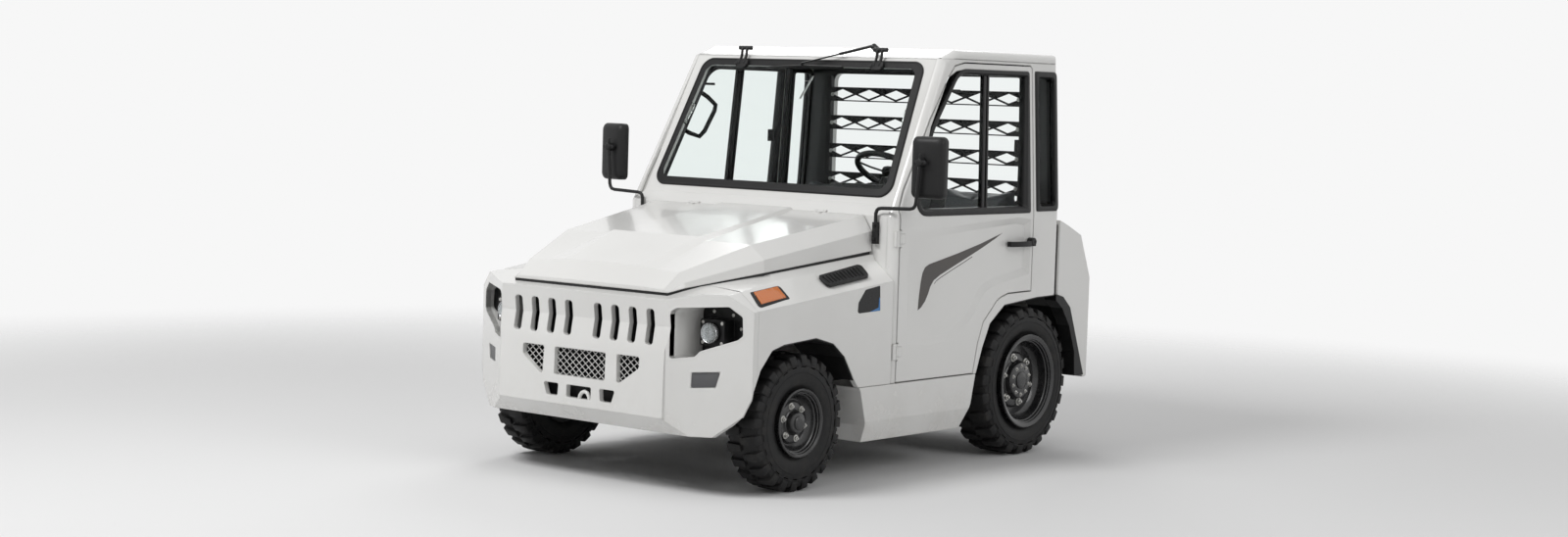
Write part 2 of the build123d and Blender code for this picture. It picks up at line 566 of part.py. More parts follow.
# Black flare behind each rear wheel, and the wheelhouse lining the rest of the arch
FLARE_D = 205.0
FLARE_W = 62.0
flare = rear_arch_left & side_prism(rear([
    (FLARE_D, 800), (600, 800), (600, 352), (392, 352), (384, 470), (330, 600), (262, 690), (FLARE_D, 729),
]), HALF_WIDTH - FLARE_W, HALF_WIDTH + 6)
wheelhouse = extrude(
    Plane.YZ.offset(ARCH_IN_X) * (Polygon(*ARCH_REAR, align=None) - grown(ARCH_REAR, -SHEET_T)),
    amount=HALF_WIDTH - ARCH_IN_X - 4, dir=(1, 0, 0),
)
wheelhouse -= block(0, FULL_WIDTH, ry(-560), ry(500), -50, 430)
wheelhouse -= block(HALF_WIDTH - FLARE_W, FULL_WIDTH, ry(FLARE_D), ry(500), 0, 900)
save("rear_wheelhouses", wheelhouse + mirrored(wheelhouse))
save("rear_flares", flare + mirrored(flare))

liner_ring = Polygon(*ARCH_FRONT, align=None) - grown(ARCH_FRONT, -SHEET_T)
liner = extrude(
    Plane.YZ.offset(ARCH_IN_X) * liner_ring, amount=HALF_WIDTH - ARCH_IN_X - 4, dir=(1, 0, 0)
)
liner &= block(0, FULL_WIDTH, fy(-314), fy(340), 455, 700)
save("front_liners", liner + mirrored(liner))

# Chassis: two rails kicked up over the rear axle, cross members and the hitch plate
RAIL_X = 325.0
RAIL_W = 50.0
rail = side_prism(
    front([(-435, 350), (-435, SILL_Z)]) + rear([
        (-330, SILL_Z), (-230, 560), (470, 560), (470, 480), (-190, 480), (-290, 350),
    ]), RAIL_X - RAIL_W / 2, RAIL_X + RAIL_W / 2,
)
rail_in = RAIL_X - RAIL_W / 2
chassis = rail + mirrored(rail)
chassis += block(-rail_in, rail_in, fy(-435), fy(-405), 350, 420)
chassis += block(-rail_in, rail_in, fy(500), fy(560), 350, 420)
chassis += block(-rail_in, rail_in, ry(170), ry(220), 490, 550)
chassis += block(-380, 380, ry(470), ry(488), 400, 600)
save("chassis", chassis)

# Engine as one plain mass, and the radiator behind the grille
engine = block(-220, 220, fy(-150), fy(430), 450, 860) + block(-160, 160, fy(60), fy(400), 350, 450)
for foot_d in (-60, 300):
    engine += block(-RAIL_X - 15, RAIL_X + 15, fy(foot_d), fy(foot_d + 50), SILL_Z, 470)
save("engine_block", engine)
radiator = block(-320, 320, fy(-440), fy(-385), 430, 800)
radiator += block(-280, 280, fy(-440), fy(-400), 420, 430)
save("radiator", radiator)

# Front axle beam, kingpin eyes and knuckles
FRONT_HUB_Z = FRONT_TYRE_R
EYE_R = 36.0
EYE_H = 84.0
beam = block(-KINGPIN_X, KINGPIN_X, fy(-32), fy(32), FRONT_HUB_Z - 36, FRONT_HUB_Z + 36)
beam += block(-RAIL_X - 40, RAIL_X + 40, fy(-45), fy(45), FRONT_HUB_Z + 30, 350)
for side in (-1, 1):
    eye = (side * KINGPIN_X, fy(0), FRONT_HUB_Z - EYE_H / 2)
    beam += rod(EYE_R, eye, (eye[0], eye[1], eye[2] + EYE_H))
for side in (-1, 1):
    eye = (side * KINGPIN_X, fy(0), FRONT_HUB_Z - EYE_H)
    beam -= block(side * KINGPIN_X - 45, side * KINGPIN_X + 45, fy(-60), fy(60), 0, FRONT_HUB_Z - EYE_H / 2)
    beam -= block(side * KINGPIN_X - 45, side * KINGPIN_X + 45, fy(-60), fy(60), FRONT_HUB_Z + EYE_H / 2, 600)
    beam -= rod(KINGPIN_R + RUNNING_CLEARANCE, eye, (eye[0], eye[1], eye[2] + 2 * EYE_H))
save("front_axle", beam)

ARM_T = 26.0
knuckle_gap = 0.3
arm_low = FRONT_HUB_Z - EYE_H / 2 - knuckle_gap
arm_high = FRONT_HUB_Z + EYE_H / 2 + knuckle_gap
KNUCKLE_X = KINGPIN_X + EYE_R + 8
knuckle = rod(KINGPIN_R, (KINGPIN_X, fy(0), arm_low - ARM_T), (KINGPIN_X, fy(0), arm_high + ARM_T))
knuckle += rod(EYE_R, (KINGPIN_X, fy(0), arm_low - ARM_T), (KINGPIN_X, fy(0), arm_low))
knuckle += rod(EYE_R, (KINGPIN_X, fy(0), arm_high), (KINGPIN_X, fy(0), arm_high + ARM_T))
knuckle += block(KINGPIN_X, KNUCKLE_X + 18, fy(-EYE_R), fy(EYE_R), arm_low - ARM_T, arm_low)
knuckle += block(KINGPIN_X, KNUCKLE_X + 18, fy(-EYE_R), fy(EYE_R), arm_high, arm_high + ARM_T)
knuckle += block(KNUCKLE_X, KNUCKLE_X + 18, fy(-EYE_R), fy(EYE_R), arm_low - ARM_T, arm_high + ARM_T)
knuckle += rod(SPINDLE_R, (KNUCKLE_X, fy(0), FRONT_HUB_Z), (FRONT_LIP_X - 22, fy(0), FRONT_HUB_Z))
save_pair("knuckle", knuckle)

# Rear axle housing with its differential, on perches under the rails
REAR_HUB_Z = REAR_TYRE_R
REAR_SPINDLE_R = SPINDLE_R + 10
SPINDLE_END = REAR_LIP_X - 40
rear_axle = turned([
    (-SPINDLE_END, 0), (-SPINDLE_END, REAR_SPINDLE_R), (-520, REAR_SPINDLE_R), (-520, 60), (-190, 60),
    (-120, 120), (-70, 150), (70, 150), (120, 120), (190, 60), (520, 60), (520, REAR_SPINDLE_R),
    (SPINDLE_END, REAR_SPINDLE_R), (SPINDLE_END, 0),
], ry(0), REAR_HUB_Z)
for side in (-1, 1):
    rear_axle += block(side * RAIL_X - 40, side * RAIL_X + 40, ry(-60), ry(60), REAR_HUB_Z, 480)
save("rear_axle", rear_axle)


# Wheels
def rim_profile(mid, lip_x, rim_r, lip_r, disc_x, hub_r, bore_r):
    """Rim barrel, lips, dished disc and hub as (x, radius) points, for the left side."""
    inner = mid - (lip_x - mid) * 0.75
    return [
        (inner, rim_r), (inner, lip_r), (inner - 8, lip_r), (inner - 8, rim_r - 12), (disc_x - 10, rim_r - 14),
        (disc_x - 12, hub_r + 30), (disc_x - 12, bore_r), (disc_x + 46, bore_r), (disc_x + 46, hub_r - 8),
        (disc_x + 16, hub_r - 4), (disc_x + 14, hub_r + 32), (disc_x, rim_r - 12), (lip_x - 10, rim_r - 10),
        (lip_x, lip_r), (lip_x - 9, lip_r), (lip_x - 12, rim_r),
    ]


def tyre_carcass(mid, width, tread_r, rim_r, lip_r, lip_x):
    """Tyre section as (x, radius) points, for the left side."""
    half = width / 2
    bead_in = mid - (lip_x - mid) * 0.75 + SEAT_CLEARANCE
    bead_out = lip_x - 12 - SEAT_CLEARANCE
    return [
        (bead_in, rim_r + SEAT_CLEARANCE), (bead_in, lip_r + 2), (mid - half, (lip_r + tread_r) / 2),
        (mid - half + 10, tread_r - 12), (mid - half + 26, tread_r), (mid + half - 26, tread_r),
        (mid + half - 10, tread_r - 12), (mid + half, (lip_r + tread_r) / 2),
        (min(bead_out, mid + half - 6), lip_r + 2), (min(bead_out, mid + half - 6), rim_r + SEAT_CLEARANCE),
    ]


front_bore = SPINDLE_R + RUNNING_CLEARANCE
rear_bore = REAR_SPINDLE_R + RUNNING_CLEARANCE
front_rim = turned(rim_profile(FRONT_TYRE_X, FRONT_LIP_X, FRONT_RIM_R, FRONT_LIP_R, 706, 52, front_bore), fy(0), FRONT_HUB_Z)
rear_rim = turned(rim_profile(REAR_TYRE_X, REAR_LIP_X, REAR_RIM_R, REAR_LIP_R, 690, 92, rear_bore), ry(0), REAR_HUB_Z)
front_section = tyre_carcass(FRONT_TYRE_X, FRONT_TYRE_W, FRONT_TYRE_R, FRONT_RIM_R, FRONT_LIP_R, FRONT_LIP_X)
rear_section = tyre_carcass(REAR_TYRE_X, REAR_TYRE_W, REAR_TYRE_R, REAR_RIM_R, REAR_LIP_R, REAR_LIP_X)
front_tyre = turned(front_section, fy(0), FRONT_HUB_Z)
rear_tyre = turned(rear_section, ry(0), REAR_HUB_Z)
save_pair("front_rim", front_rim)
save_pair("rear_rim", rear_rim)
save_pair("front_tyre", front_tyre)
save_pair("rear_tyre", rear_tyre)

# Mirrors on tube arms from the front face of the cab
MIRROR_X = 935.0
MIRROR_Y = fy(632)
MIRROR_Z = 1382.0
mirror_arm = rod(9, (700, fy(590), 1040), (700, fy(590), 1190))
mirror_arm += block(688, 712, fy(578), fy(CAB_FRONT), 1034, 1130)
mirror_arm += rod(9, (700, fy(590), 1190), (910, fy(590), 1196))
mirror_arm += rod(9, (910, fy(590), 1196), (930, fy(590), 1420))
mirror_arm += rod(8, (929, fy(590), 1400), (929, fy(612), 1400))
mirror_case = Pos(MIRROR_X, MIRROR_Y, MIRROR_Z) * Rot(0, 0, 10) * chamfer(Box(160, 52, 273).edges().filter_by(Axis.Y), 18)
save_pair("mirror", mirror_arm + mirror_case)

# Rear hitch: a jaw of three plates, bored through for a drop pin
PIN_BORE_R = 16.0
PIN_D = REAR_OVERHANG + 48
HITCH_PLATES = ((330.0, 348.0), (420.0, 438.0), (510.0, 528.0))
hitch = block(-80, 80, ry(REAR_OVERHANG), ry(REAR_OVERHANG + 14), 320, 540)
for plate_z0, plate_z1 in HITCH_PLATES:
    plate = block(-70, 70, ry(REAR_OVERHANG + 10), ry(REAR_OVERHANG + HITCH_REACH), plate_z0, plate_z1)
    hitch += chamfer(plate.edges().filter_by(Axis.Z).filter_by(lambda e: e.center().Y > ry(REAR_OVERHANG + 50)), 30)
hitch -= rod(PIN_BORE_R, (0, ry(PIN_D), 300), (0, ry(PIN_D), 600))
save("tow_hitch", hitch)

# Side indicators and louvred vents, seated on the sloping top of each fender
LENS_T = 7.0
fender_top = body_volume(-LENS_T) - body_volume(0)
indicator = fender_top & plan_prism([
    (714, fy(-253)), (702, fy(-85)), (766, fy(-102)), (775, fy(-273)),
], 700, 1000)
vent = fender_top & plan_prism([
    (702, fy(184)), (701, fy(480)), (763, fy(472)), (766, fy(180)),
], 700, 1100)
save("indicators", indicator + mirrored(indicator))
save("fender_vents", vent + mirrored(vent))
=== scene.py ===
import math

import bmesh
import bpy
from mathutils import Matrix, Vector


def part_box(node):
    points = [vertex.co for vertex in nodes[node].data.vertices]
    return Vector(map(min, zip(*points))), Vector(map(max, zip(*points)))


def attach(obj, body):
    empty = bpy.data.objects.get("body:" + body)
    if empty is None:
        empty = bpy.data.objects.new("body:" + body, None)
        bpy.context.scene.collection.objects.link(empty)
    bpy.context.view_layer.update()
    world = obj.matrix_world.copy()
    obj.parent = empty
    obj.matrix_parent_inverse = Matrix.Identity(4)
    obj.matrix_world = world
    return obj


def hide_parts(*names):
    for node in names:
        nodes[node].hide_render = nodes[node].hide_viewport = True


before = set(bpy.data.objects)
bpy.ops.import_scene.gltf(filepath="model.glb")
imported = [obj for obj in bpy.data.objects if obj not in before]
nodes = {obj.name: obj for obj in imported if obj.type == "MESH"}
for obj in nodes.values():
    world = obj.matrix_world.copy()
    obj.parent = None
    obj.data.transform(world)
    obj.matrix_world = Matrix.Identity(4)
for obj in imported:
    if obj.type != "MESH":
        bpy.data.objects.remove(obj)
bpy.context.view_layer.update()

# The viewpoint of the photograph: a long lens, a little above the roof's height, looking at the
# left front corner with the horizon tilted by less than two degrees.
CAMERA_PLACE = (7.1445, -8.8240, 1.6819)
CAMERA_YAW = 0.6857
CAMERA_PITCH = 0.0720
CAMERA_ROLL = -0.0305
FOCAL_SHARE = 2468.64 / 1600.0

yaw_side = Vector((math.cos(CAMERA_YAW), math.sin(CAMERA_YAW), 0.0))
ahead = Vector((
    -math.sin(CAMERA_YAW) * math.cos(CAMERA_PITCH),
    math.cos(CAMERA_YAW) * math.cos(CAMERA_PITCH),
    -math.sin(CAMERA_PITCH),
))
level_down = ahead.cross(yaw_side)
rolled_side = yaw_side * math.cos(CAMERA_ROLL) + level_down * math.sin(CAMERA_ROLL)
rolled_up = -(level_down * math.cos(CAMERA_ROLL) - yaw_side * math.sin(CAMERA_ROLL))
lens = bpy.data.cameras.new("viewpoint")
lens.sensor_width = 36.0
lens.lens = 36.0 * FOCAL_SHARE
lens.clip_end = 200.0
camera = bpy.data.objects.new("viewpoint", lens)
bpy.context.scene.collection.objects.link(camera)
turn = Matrix((rolled_side, rolled_up, -ahead)).transposed().to_4x4()
camera.matrix_world = Matrix.Translation(CAMERA_PLACE) @ turn
bpy.context.scene.camera = camera
bpy.context.scene.view_settings.view_transform = "Standard"


# Body paint: a warm off-white gloss lacquer over pressed and moulded panels, with fine orange
# peel, softened edges and a little road dust along the sills. Inside the cab, told apart by its
# depth behind the outer skin, it turns near black and matte, a painted shade for the dark inside.
class Value:
    """A socket whose sums and products add Math nodes to its tree."""

    def __init__(self, tree, socket):
        self.tree = tree
        self.socket = socket

    def _math(self, operation, first, second):
        node = self.tree.nodes.new("ShaderNodeMath")
        node.operation = operation
        for slot, item in zip(node.inputs, (first, second)):
            if isinstance(item, Value):
                self.tree.links.new(item.socket, slot)
            else:
                slot.default_value = item
        return Value(self.tree, node.outputs[0])

    def __add__(self, other):
        return self._math("ADD", self, other)

    def __radd__(self, other):
        return self._math("ADD", other, self)

    def __sub__(self, other):
        return self._math("SUBTRACT", self, other)

    def __rsub__(self, other):
        return self._math("SUBTRACT", other, self)

    def __mul__(self, other):
        return self._math("MULTIPLY", self, other)

    def __rmul__(self, other):
        return self._math("MULTIPLY", other, self)

    def __gt__(self, other):
        return self._math("GREATER_THAN", self, other)

    def __lt__(self, other):
        return self._math("LESS_THAN", self, other)

    def size(self):
        return self._math("ABSOLUTE", self, 0.0)


class Finish:
    """A material made of one Principled surface and the nodes that vary it."""

    def __init__(self, name, colour, roughness, **constants):
        self.material = bpy.data.materials.new(name)
        self.material.use_nodes = True
        self.material.diffuse_color = (*colour, 1.0)
        self.tree = self.material.node_tree
        self.shader = self.tree.nodes["Principled BSDF"]
        self.shader.inputs["Base Color"].default_value = (*colour, 1.0)
        self.shader.inputs["Roughness"].default_value = roughness
        for label, value in constants.items():
            self.shader.inputs[label.replace("_", " ")].default_value = value

    def add(self, kind, inputs=None, **settings):
        """A node of that kind, its settings first and then the values or links of its sockets."""
        node = self.tree.nodes.new(kind)
        for label, value in settings.items():
            setattr(node, label, value)
        for label, value in (inputs or {}).items():
            self.join(node.inputs[label], value)
        return lambda label: Value(self.tree, node.outputs[label])

    def join(self, socket, value):
        if isinstance(value, Value):
            self.tree.links.new(value.socket, socket)
        elif hasattr(value, "__len__") and len(value) == 3 and socket.type == "RGBA":
            socket.default_value = (*value, 1.0)
        else:
            socket.default_value = value

    def set(self, label, value):
        self.join(self.shader.inputs[label], value)

    def place(self):
        return self.add("ShaderNodeTexCoord")("Object")

    def along(self):
        """The x, y and z of the point on the object."""
        split = self.add("ShaderNodeSeparateXYZ", {"Vector": self.place()})
        return split("X"), split("Y"), split("Z")

    def noise(self, scale, detail=3.0, roughness=0.5):
        inputs = {"Vector": self.place(), "Scale": scale, "Detail": detail, "Roughness": roughness}
        return self.add("ShaderNodeTexNoise", inputs)("Fac")

    def cells(self, scale):
        return self.add("ShaderNodeTexVoronoi", {"Vector": self.place(), "Scale": scale})("Distance")

    def bands(self, scale, direction):
        wave = {"wave_type": "BANDS", "bands_direction": direction}
        return self.add("ShaderNodeTexWave", {"Vector": self.place(), "Scale": scale}, **wave)("Fac")

    def soft(self, value, low, high):
        """0 below low and 1 above high, with a smooth step between."""
        inputs = {"Value": value, "From Min": low, "From Max": high}
        return self.add("ShaderNodeMapRange", inputs, interpolation_type="SMOOTHSTEP")("Result")

    def blend(self, share, first, second):
        """A colour between first and second."""
        node = self.tree.nodes.new("ShaderNodeMix")
        node.data_type = "RGBA"
        self.join(node.inputs[0], share)
        self.join(node.inputs[6], first)
        self.join(node.inputs[7], second)
        return Value(self.tree, node.outputs[2])

    def bump(self, height, strength, distance=0.001, edge=None):
        """A relief on the surface, with its edges softened over the radius edge."""
        inputs = {"Height": height, "Strength": strength, "Distance": distance}
        if edge:
            inputs["Normal"] = self.add("ShaderNodeBevel", {"Radius": edge}, samples=4)("Normal")
        self.set("Normal", self.add("ShaderNodeBump", inputs)("Normal"))

    def assign(self, *pieces):
        for piece in pieces:
            piece.data.materials.clear()
            piece.data.materials.append(self.material)

    def assign_nodes(self, *names):
        self.assign(*(nodes[name] for name in names))


PAINT = (0.765, 0.762, 0.745)
PAINT_SHADE = (0.72, 0.716, 0.698)
ROAD_DUST = (0.46, 0.43, 0.38)
# Near-black painted shade for the faces inside the cab.
PAINTED_INTERIOR_SHADE = (0.016, 0.016, 0.017)
PANEL_EDGE = 0.007
CAB_LEAN = 0.043
BELT_Z = 1.157
# How far in from the side the painted interior shade begins.
INTERIOR_SHADE_DEPTH = 0.041

half_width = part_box("fender_left")[1].x
roof_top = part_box("roof")[1].z
roof_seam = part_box("roof")[0].z
front_axle_y = (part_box("front_tyre_left")[0].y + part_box("front_tyre_left")[1].y) / 2
rear_axle_y = (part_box("rear_tyre_left")[0].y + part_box("rear_tyre_left")[1].y) / 2
SCREEN_FOOT = (0.655, 1.202)
SCREEN_HEAD = (0.977, roof_top - 0.056)
screen_run = (SCREEN_HEAD[0] - SCREEN_FOOT[0]) / (SCREEN_HEAD[1] - SCREEN_FOOT[1])


def fy(distance):
    """Y of a station given behind the front axle."""
    return front_axle_y + distance


def ry(distance):
    """Y of a station given behind the rear axle."""
    return rear_axle_y + distance


def body_paint(name, shaded_inside):
    """Gloss paint; with the second argument true, surfaces deep inside the cab get a near-black painted shade."""
    paint = Finish(name, PAINT, 0.22, Coat_Weight=0.3, Coat_Roughness=0.06)
    x, y, z = paint.along()
    tone = paint.blend(paint.soft(paint.noise(1.6, 4.0), 0.35, 0.7), PAINT, PAINT_SHADE)
    low = 1.0 - paint.soft(z, 0.16, 0.50)
    dust = paint.soft(paint.noise(5.0, 6.0, 0.7), 0.40, 0.80) * low * 0.42
    colour = paint.blend(dust, tone, ROAD_DUST)
    rough = 0.2 + dust * 0.6 + paint.noise(9.0, 3.0) * 0.06
    # Painted shade: faces deep inside the cab turn near black and matte, standing in for the dark inside of the cab.
    if shaded_inside:
        lean = (z - BELT_Z) * (z > BELT_Z) * (CAB_LEAN / (roof_top - BELT_Z))
        deep = (x.size() + lean) < (half_width - INTERIOR_SHADE_DEPTH)
        behind = (y - (z - SCREEN_FOOT[1]) * screen_run) > (fy(SCREEN_FOOT[0]) + 0.020)
        cabin_shade = deep * behind * (y < ry(0.225) - 0.030) * (z < roof_seam + 0.002) * (y > fy(0.600) + 0.030)
        colour = paint.blend(cabin_shade, colour, PAINTED_INTERIOR_SHADE)
        rough = rough + cabin_shade * 0.4
    paint.set("Base Color", colour)
    paint.set("Roughness", rough)
    paint.bump(paint.noise(420.0, 2.0), 0.04, 0.0004, PANEL_EDGE)
    return paint


outer_paint = body_paint("gloss white paint", False)
# Cab panels: the gloss paint, with a near-black painted shade on their inner faces.
cab_paint = body_paint("cab paint with painted interior shade", True)
outer_paint.assign_nodes("side_step_left", "side_step_right", "rear_body", "hood_hinges")


# Window glass: clear safety glass with a faint green tint, bonded or clamped in black frames.
glass = Finish("clear window glass", (0.93, 0.965, 0.955), 0.02, Transmission_Weight=1.0, IOR=1.08)
glass.set("Roughness", glass.soft(glass.noise(14.0, 5.0, 0.6), 0.6, 0.95) * 0.03 + 0.005)


# Black mouldings with a pebbled grain: flares, arch liners, mirror cases, handles and dash. Axles,
# rails and guard are steel in satin black with a film of dust.
def grained(name, tone, roughness, grain=900.0, dusty=0.25, edge=0.004):
    finish = Finish(name, (tone, tone, tone * 1.05), roughness, Specular_IOR_Level=0.28)
    wear = finish.soft(finish.noise(7.0, 5.0, 0.6), 0.45, 0.8)
    grey = (tone * 2.2, tone * 2.15, tone * 2.0)
    finish.set("Base Color", finish.blend(wear * dusty, (tone, tone, tone * 1.05), grey))
    finish.set("Roughness", roughness + wear * 0.12)
    finish.bump(finish.cells(grain), 0.25, 0.0006, edge)
    return finish


black_moulding = grained("grained black moulding", 0.009, 0.42)
black_moulding.assign_nodes(
    "rear_flares", "rear_wheelhouses", "front_liners", "dashboard", "steering_column",
)
frame_black = grained("satin black frame", 0.006, 0.30, 1400.0, 0.15, 0.003)
chassis_black = grained("satin black chassis paint", 0.011, 0.40, 260.0, 0.5)
chassis_black.assign_nodes(
    "chassis", "front_axle", "knuckle_left", "knuckle_right", "rear_axle", "tow_hitch", "seat_pedestals", "radiator",
)
casting = grained("grey painted casting", 0.10, 0.6, 320.0, 0.6)
casting.assign_nodes("engine_block")

# Floor of the cab: a ribbed rubber mat laid over the footwell and the seat platform.
mat = Finish("ribbed rubber mat", (0.03, 0.03, 0.031), 0.75)
mat.set("Base Color", mat.blend(mat.noise(16.0, 4.0), (0.025, 0.025, 0.026), (0.05, 0.048, 0.045)))
mat.bump(mat.bands(18.0, "X"), 0.5, 0.003)
mat.assign_nodes("cab_floor")


# Cab sides: painted panels on a steel frame, with every outer corner of the cab rounded. Each side
# is one panel, cut out for the door, the quarter window and the rear wheel.
class Form:
    """A mesh in the frame's metres, built up from rings of points."""

    def __init__(self):
        self.points = []
        self.faces = []

    def loft(self, rings, closed=False):
        """A skin from ring to ring; its ends are capped, or joined when closed."""
        start = len(self.points)
        count = len(rings[0])
        for ring in rings:
            self.points.extend(Vector(p) for p in ring)
        for r in range(len(rings) if closed else len(rings) - 1):
            a = start + r * count
            b = start + (r + 1) % len(rings) * count
            for i in range(count):
                j = (i + 1) % count
                self.faces.append((a + i, a + j, b + j, b + i))
        if not closed:
            last = start + (len(rings) - 1) * count
            self.faces.append(tuple(start + i for i in reversed(range(count))))
            self.faces.append(tuple(last + i for i in range(count)))
        return self

    def slab(self, outline, push):
        """An outline pushed along a vector."""
        return self.loft([outline, [Vector(p) + Vector(push) for p in outline]])

    def box(self, low, high):
        (x0, y0, z0), (x1, y1, z1) = low, high
        return self.slab([(x0, y0, z0), (x1, y0, z0), (x1, y1, z0), (x0, y1, z0)], (0, 0, z1 - z0))

    def bar(self, path, radius, sides=12, flat=1.0):
        """A round bar along a path; flat below 1 makes it a strip."""
        path = [Vector(p) for p in path]
        rings = []
        up = Vector((0, 0, 1)) if abs((path[1] - path[0]).normalized().z) < 0.9 else Vector((1, 0, 0))
        for i, point in enumerate(path):
            into = (point - path[max(i - 1, 0)]).normalized() if i else Vector()
            out = (path[min(i + 1, len(path) - 1)] - point).normalized() if i < len(path) - 1 else Vector()
            along = (into + out).normalized()
            across = along.cross(up).normalized()
            up = across.cross(along).normalized()
            turns = [2 * math.pi * k / sides for k in range(sides)]
            rings.append([point + across * radius * math.cos(t) + up * radius * flat * math.sin(t) for t in turns])
        return self.loft(rings)

    def lathe(self, profile, centre, sides, axis=(1, 0, 0), closed=True):
        """A profile of (along, radius) pairs turned round an axis through the centre."""
        axis = Vector(axis).normalized()
        side = axis.orthogonal().normalized() if abs(axis.x) < 0.99 else Vector((0, 0, -1))
        other = axis.cross(side)
        centre = Vector(centre)
        rings = []
        for along, radius in profile:
            turns = [2 * math.pi * k / sides for k in range(sides)]
            rings.append([centre + axis * along + (side * math.cos(t) + other * math.sin(t)) * radius for t in turns])
        return self.loft(rings, closed)

    def moved(self, matrix):
        """The form carried by a matrix."""
        copy = Form()
        copy.points = [matrix @ p for p in self.points]
        copy.faces = list(self.faces)
        return copy

    def plus(self, other):
        shift = len(self.points)
        self.points.extend(other.points)
        self.faces.extend(tuple(i + shift for i in face) for face in other.faces)
        return self

    def flipped(self):
        """The mirror image on the other side of the vehicle."""
        return self.moved(Matrix.Scale(-1, 4, (1, 0, 0)))

    def mesh(self, name, bevel=0.0, crease=40.0):
        data = bpy.data.meshes.new(name)
        data.from_pydata([tuple(p) for p in self.points], [], self.faces)
        work = bmesh.new()
        work.from_mesh(data)
        bmesh.ops.remove_doubles(work, verts=work.verts, dist=1e-6)
        bmesh.ops.recalc_face_normals(work, faces=work.faces)
        if bevel:
            sharp = [e for e in work.edges if len(e.link_faces) == 2 and e.calc_face_angle(0.0) > math.radians(35)]
            bmesh.ops.bevel(
                work, geom=sharp, offset=bevel, offset_type="OFFSET", segments=2, profile=0.6,
                affect="EDGES", clamp_overlap=True,
            )
        for face in work.faces:
            face.smooth = True
        work.to_mesh(data)
        work.free()
        data.set_sharp_from_angle(angle=math.radians(crease))
        return data


def placed_piece(data, finish, body, replaces=()):
    """The finished piece of a mesh: its finish, body and replaced nodes."""
    piece = bpy.data.objects.new(data.name, data)
    bpy.context.scene.collection.objects.link(piece)
    finish.assign(piece)
    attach(piece, body)
    if replaces:
        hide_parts(*replaces)
    return piece


def fitted(name, form, finish, body, bevel=0.0, replaces=(), crease=40.0):
    """A form in metres as a finished piece."""
    return placed_piece(form.mesh(name, bevel, crease), finish, body, replaces)


def side_x(z, depth=0.0):
    """X of the body side at a height, drawn in by depth."""
    return half_width - CAB_LEAN * max(0.0, z - BELT_Z) / (roof_top - BELT_Z) - depth


def on_side(outline, depth):
    """Side-view points (y, z) laid on the body side, drawn in by depth."""
    return [(side_x(z, depth), y, z) for y, z in outline]


def rounded(outline, radii, steps=6):
    """A flat outline with arcs at its corners."""
    points = [Vector(p) for p in outline]
    result = []
    for i, radius in enumerate(radii):
        corner = points[i]
        into = (points[i - 1] - corner).normalized()
        out = (points[(i + 1) % len(points)] - corner).normalized()
        half = math.acos(max(-1.0, min(1.0, into.dot(out)))) / 2
        reach = radius / math.tan(half)
        middle = corner + (into + out).normalized() * (radius / math.sin(half))
        start = corner + into * reach - middle
        end = corner + out * reach - middle
        for k in range(steps + 1):
            share = k / steps
            spoke = start.slerp(end, share).normalized() * radius if radius > 0 else start
            result.append(tuple(middle + spoke))
    return result


def rays(outline, centre, angles):
    """Where rays from the centre at the angles meet an outline."""
    centre = Vector(centre)
    hits = []
    for angle in angles:
        way = Vector((math.cos(angle), math.sin(angle)))
        best = None
        for i, point in enumerate(outline):
            a = Vector(outline[i - 1]) - centre
            b = Vector(point) - centre
            cross = way.x * (b.y - a.y) - way.y * (b.x - a.x)
            if abs(cross) < 1e-12:
                continue
            far = (a.x * (b.y - a.y) - a.y * (b.x - a.x)) / cross
            share = (a.x * way.y - a.y * way.x) / cross
            if far > 0 and -1e-9 <= share <= 1 + 1e-9:
                best = far if best is None else min(best, far)
        hits.append(centre + way * best)
    return hits


def frame_rings(outer, inner, centre, levels, count=160):
    """Cross sections of a frame between two side-view outlines: (share from outer, depth) levels."""
    corners = [math.atan2(p[1] - centre[1], p[0] - centre[0]) for p in outer + inner]
    angles = sorted(set([2 * math.pi * k / count - math.pi for k in range(count)] + corners))
    outside = rays(outer, centre, angles)
    inside = rays(inner, centre, angles)
    return [
        on_side([tuple(a.lerp(b, share)) for a, b in zip(outside, inside)], depth)
        for share, depth in levels
    ]


FRONT_Y, REAR_Y = front_axle_y * 1000, rear_axle_y * 1000
HALF, ROOF = round(half_width * 1000), round(roof_top * 1000)
WHEELBASE = round(REAR_Y - FRONT_Y)
WIDE = HALF + 100
SILL, BELT, LEAN = 421, 1157, 43
CAB_FRONT, CAB_REAR = 600, WHEELBASE + 225
SIDE_T, ROOF_T, CORNER_R, PANEL_GAP = 45, 45, 43, 6


def front(points):
    """Side-view points (millimetres behind the front axle, height) as y and z."""
    return [(FRONT_Y + d, z) for d, z in points]


def rear(points):
    """Side-view points (millimetres behind the rear axle, height) as y and z."""
    return [(REAR_Y + d, z) for d, z in points]


def both_sides(points):
    """Half of a front-view outline, starting low, closed with its mirror image."""
    return list(points) + [(-x, z) for x, z in reversed(points)]


def side_prism(outline, x0, x1):
    """A side-view outline (y, z) carried from x0 to x1."""
    return Form().slab([(x0, y, z) for y, z in outline], (x1 - x0, 0, 0))


def cross_prism(outline, d0, d1):
    """A front-view outline (x, z) carried between two stations behind the front axle."""
    return Form().slab([(x, FRONT_Y + d0, z) for x, z in outline], (0, d1 - d0, 0))


def plan_prism(outline, z0, z1):
    """A plan outline (x, station behind the front axle) carried from z0 to z1."""
    return Form().slab([(x, FRONT_Y + d, z0) for x, d in outline], (0, 0, z1 - z0))


def block(x0, x1, d0, d1, z0, z1):
    return cross_prism([(x0, z0), (x1, z0), (x1, z1), (x0, z1)], d0, d1)


def stations(outlines):
    """A closed form through front-view outlines, each given with its station."""
    return Form().loft([[(x, FRONT_Y + d, z) for x, z in outline] for d, outline in outlines])


def twice(form):
    """A form and its mirror image."""
    return Form().plus(form).plus(form.flipped())


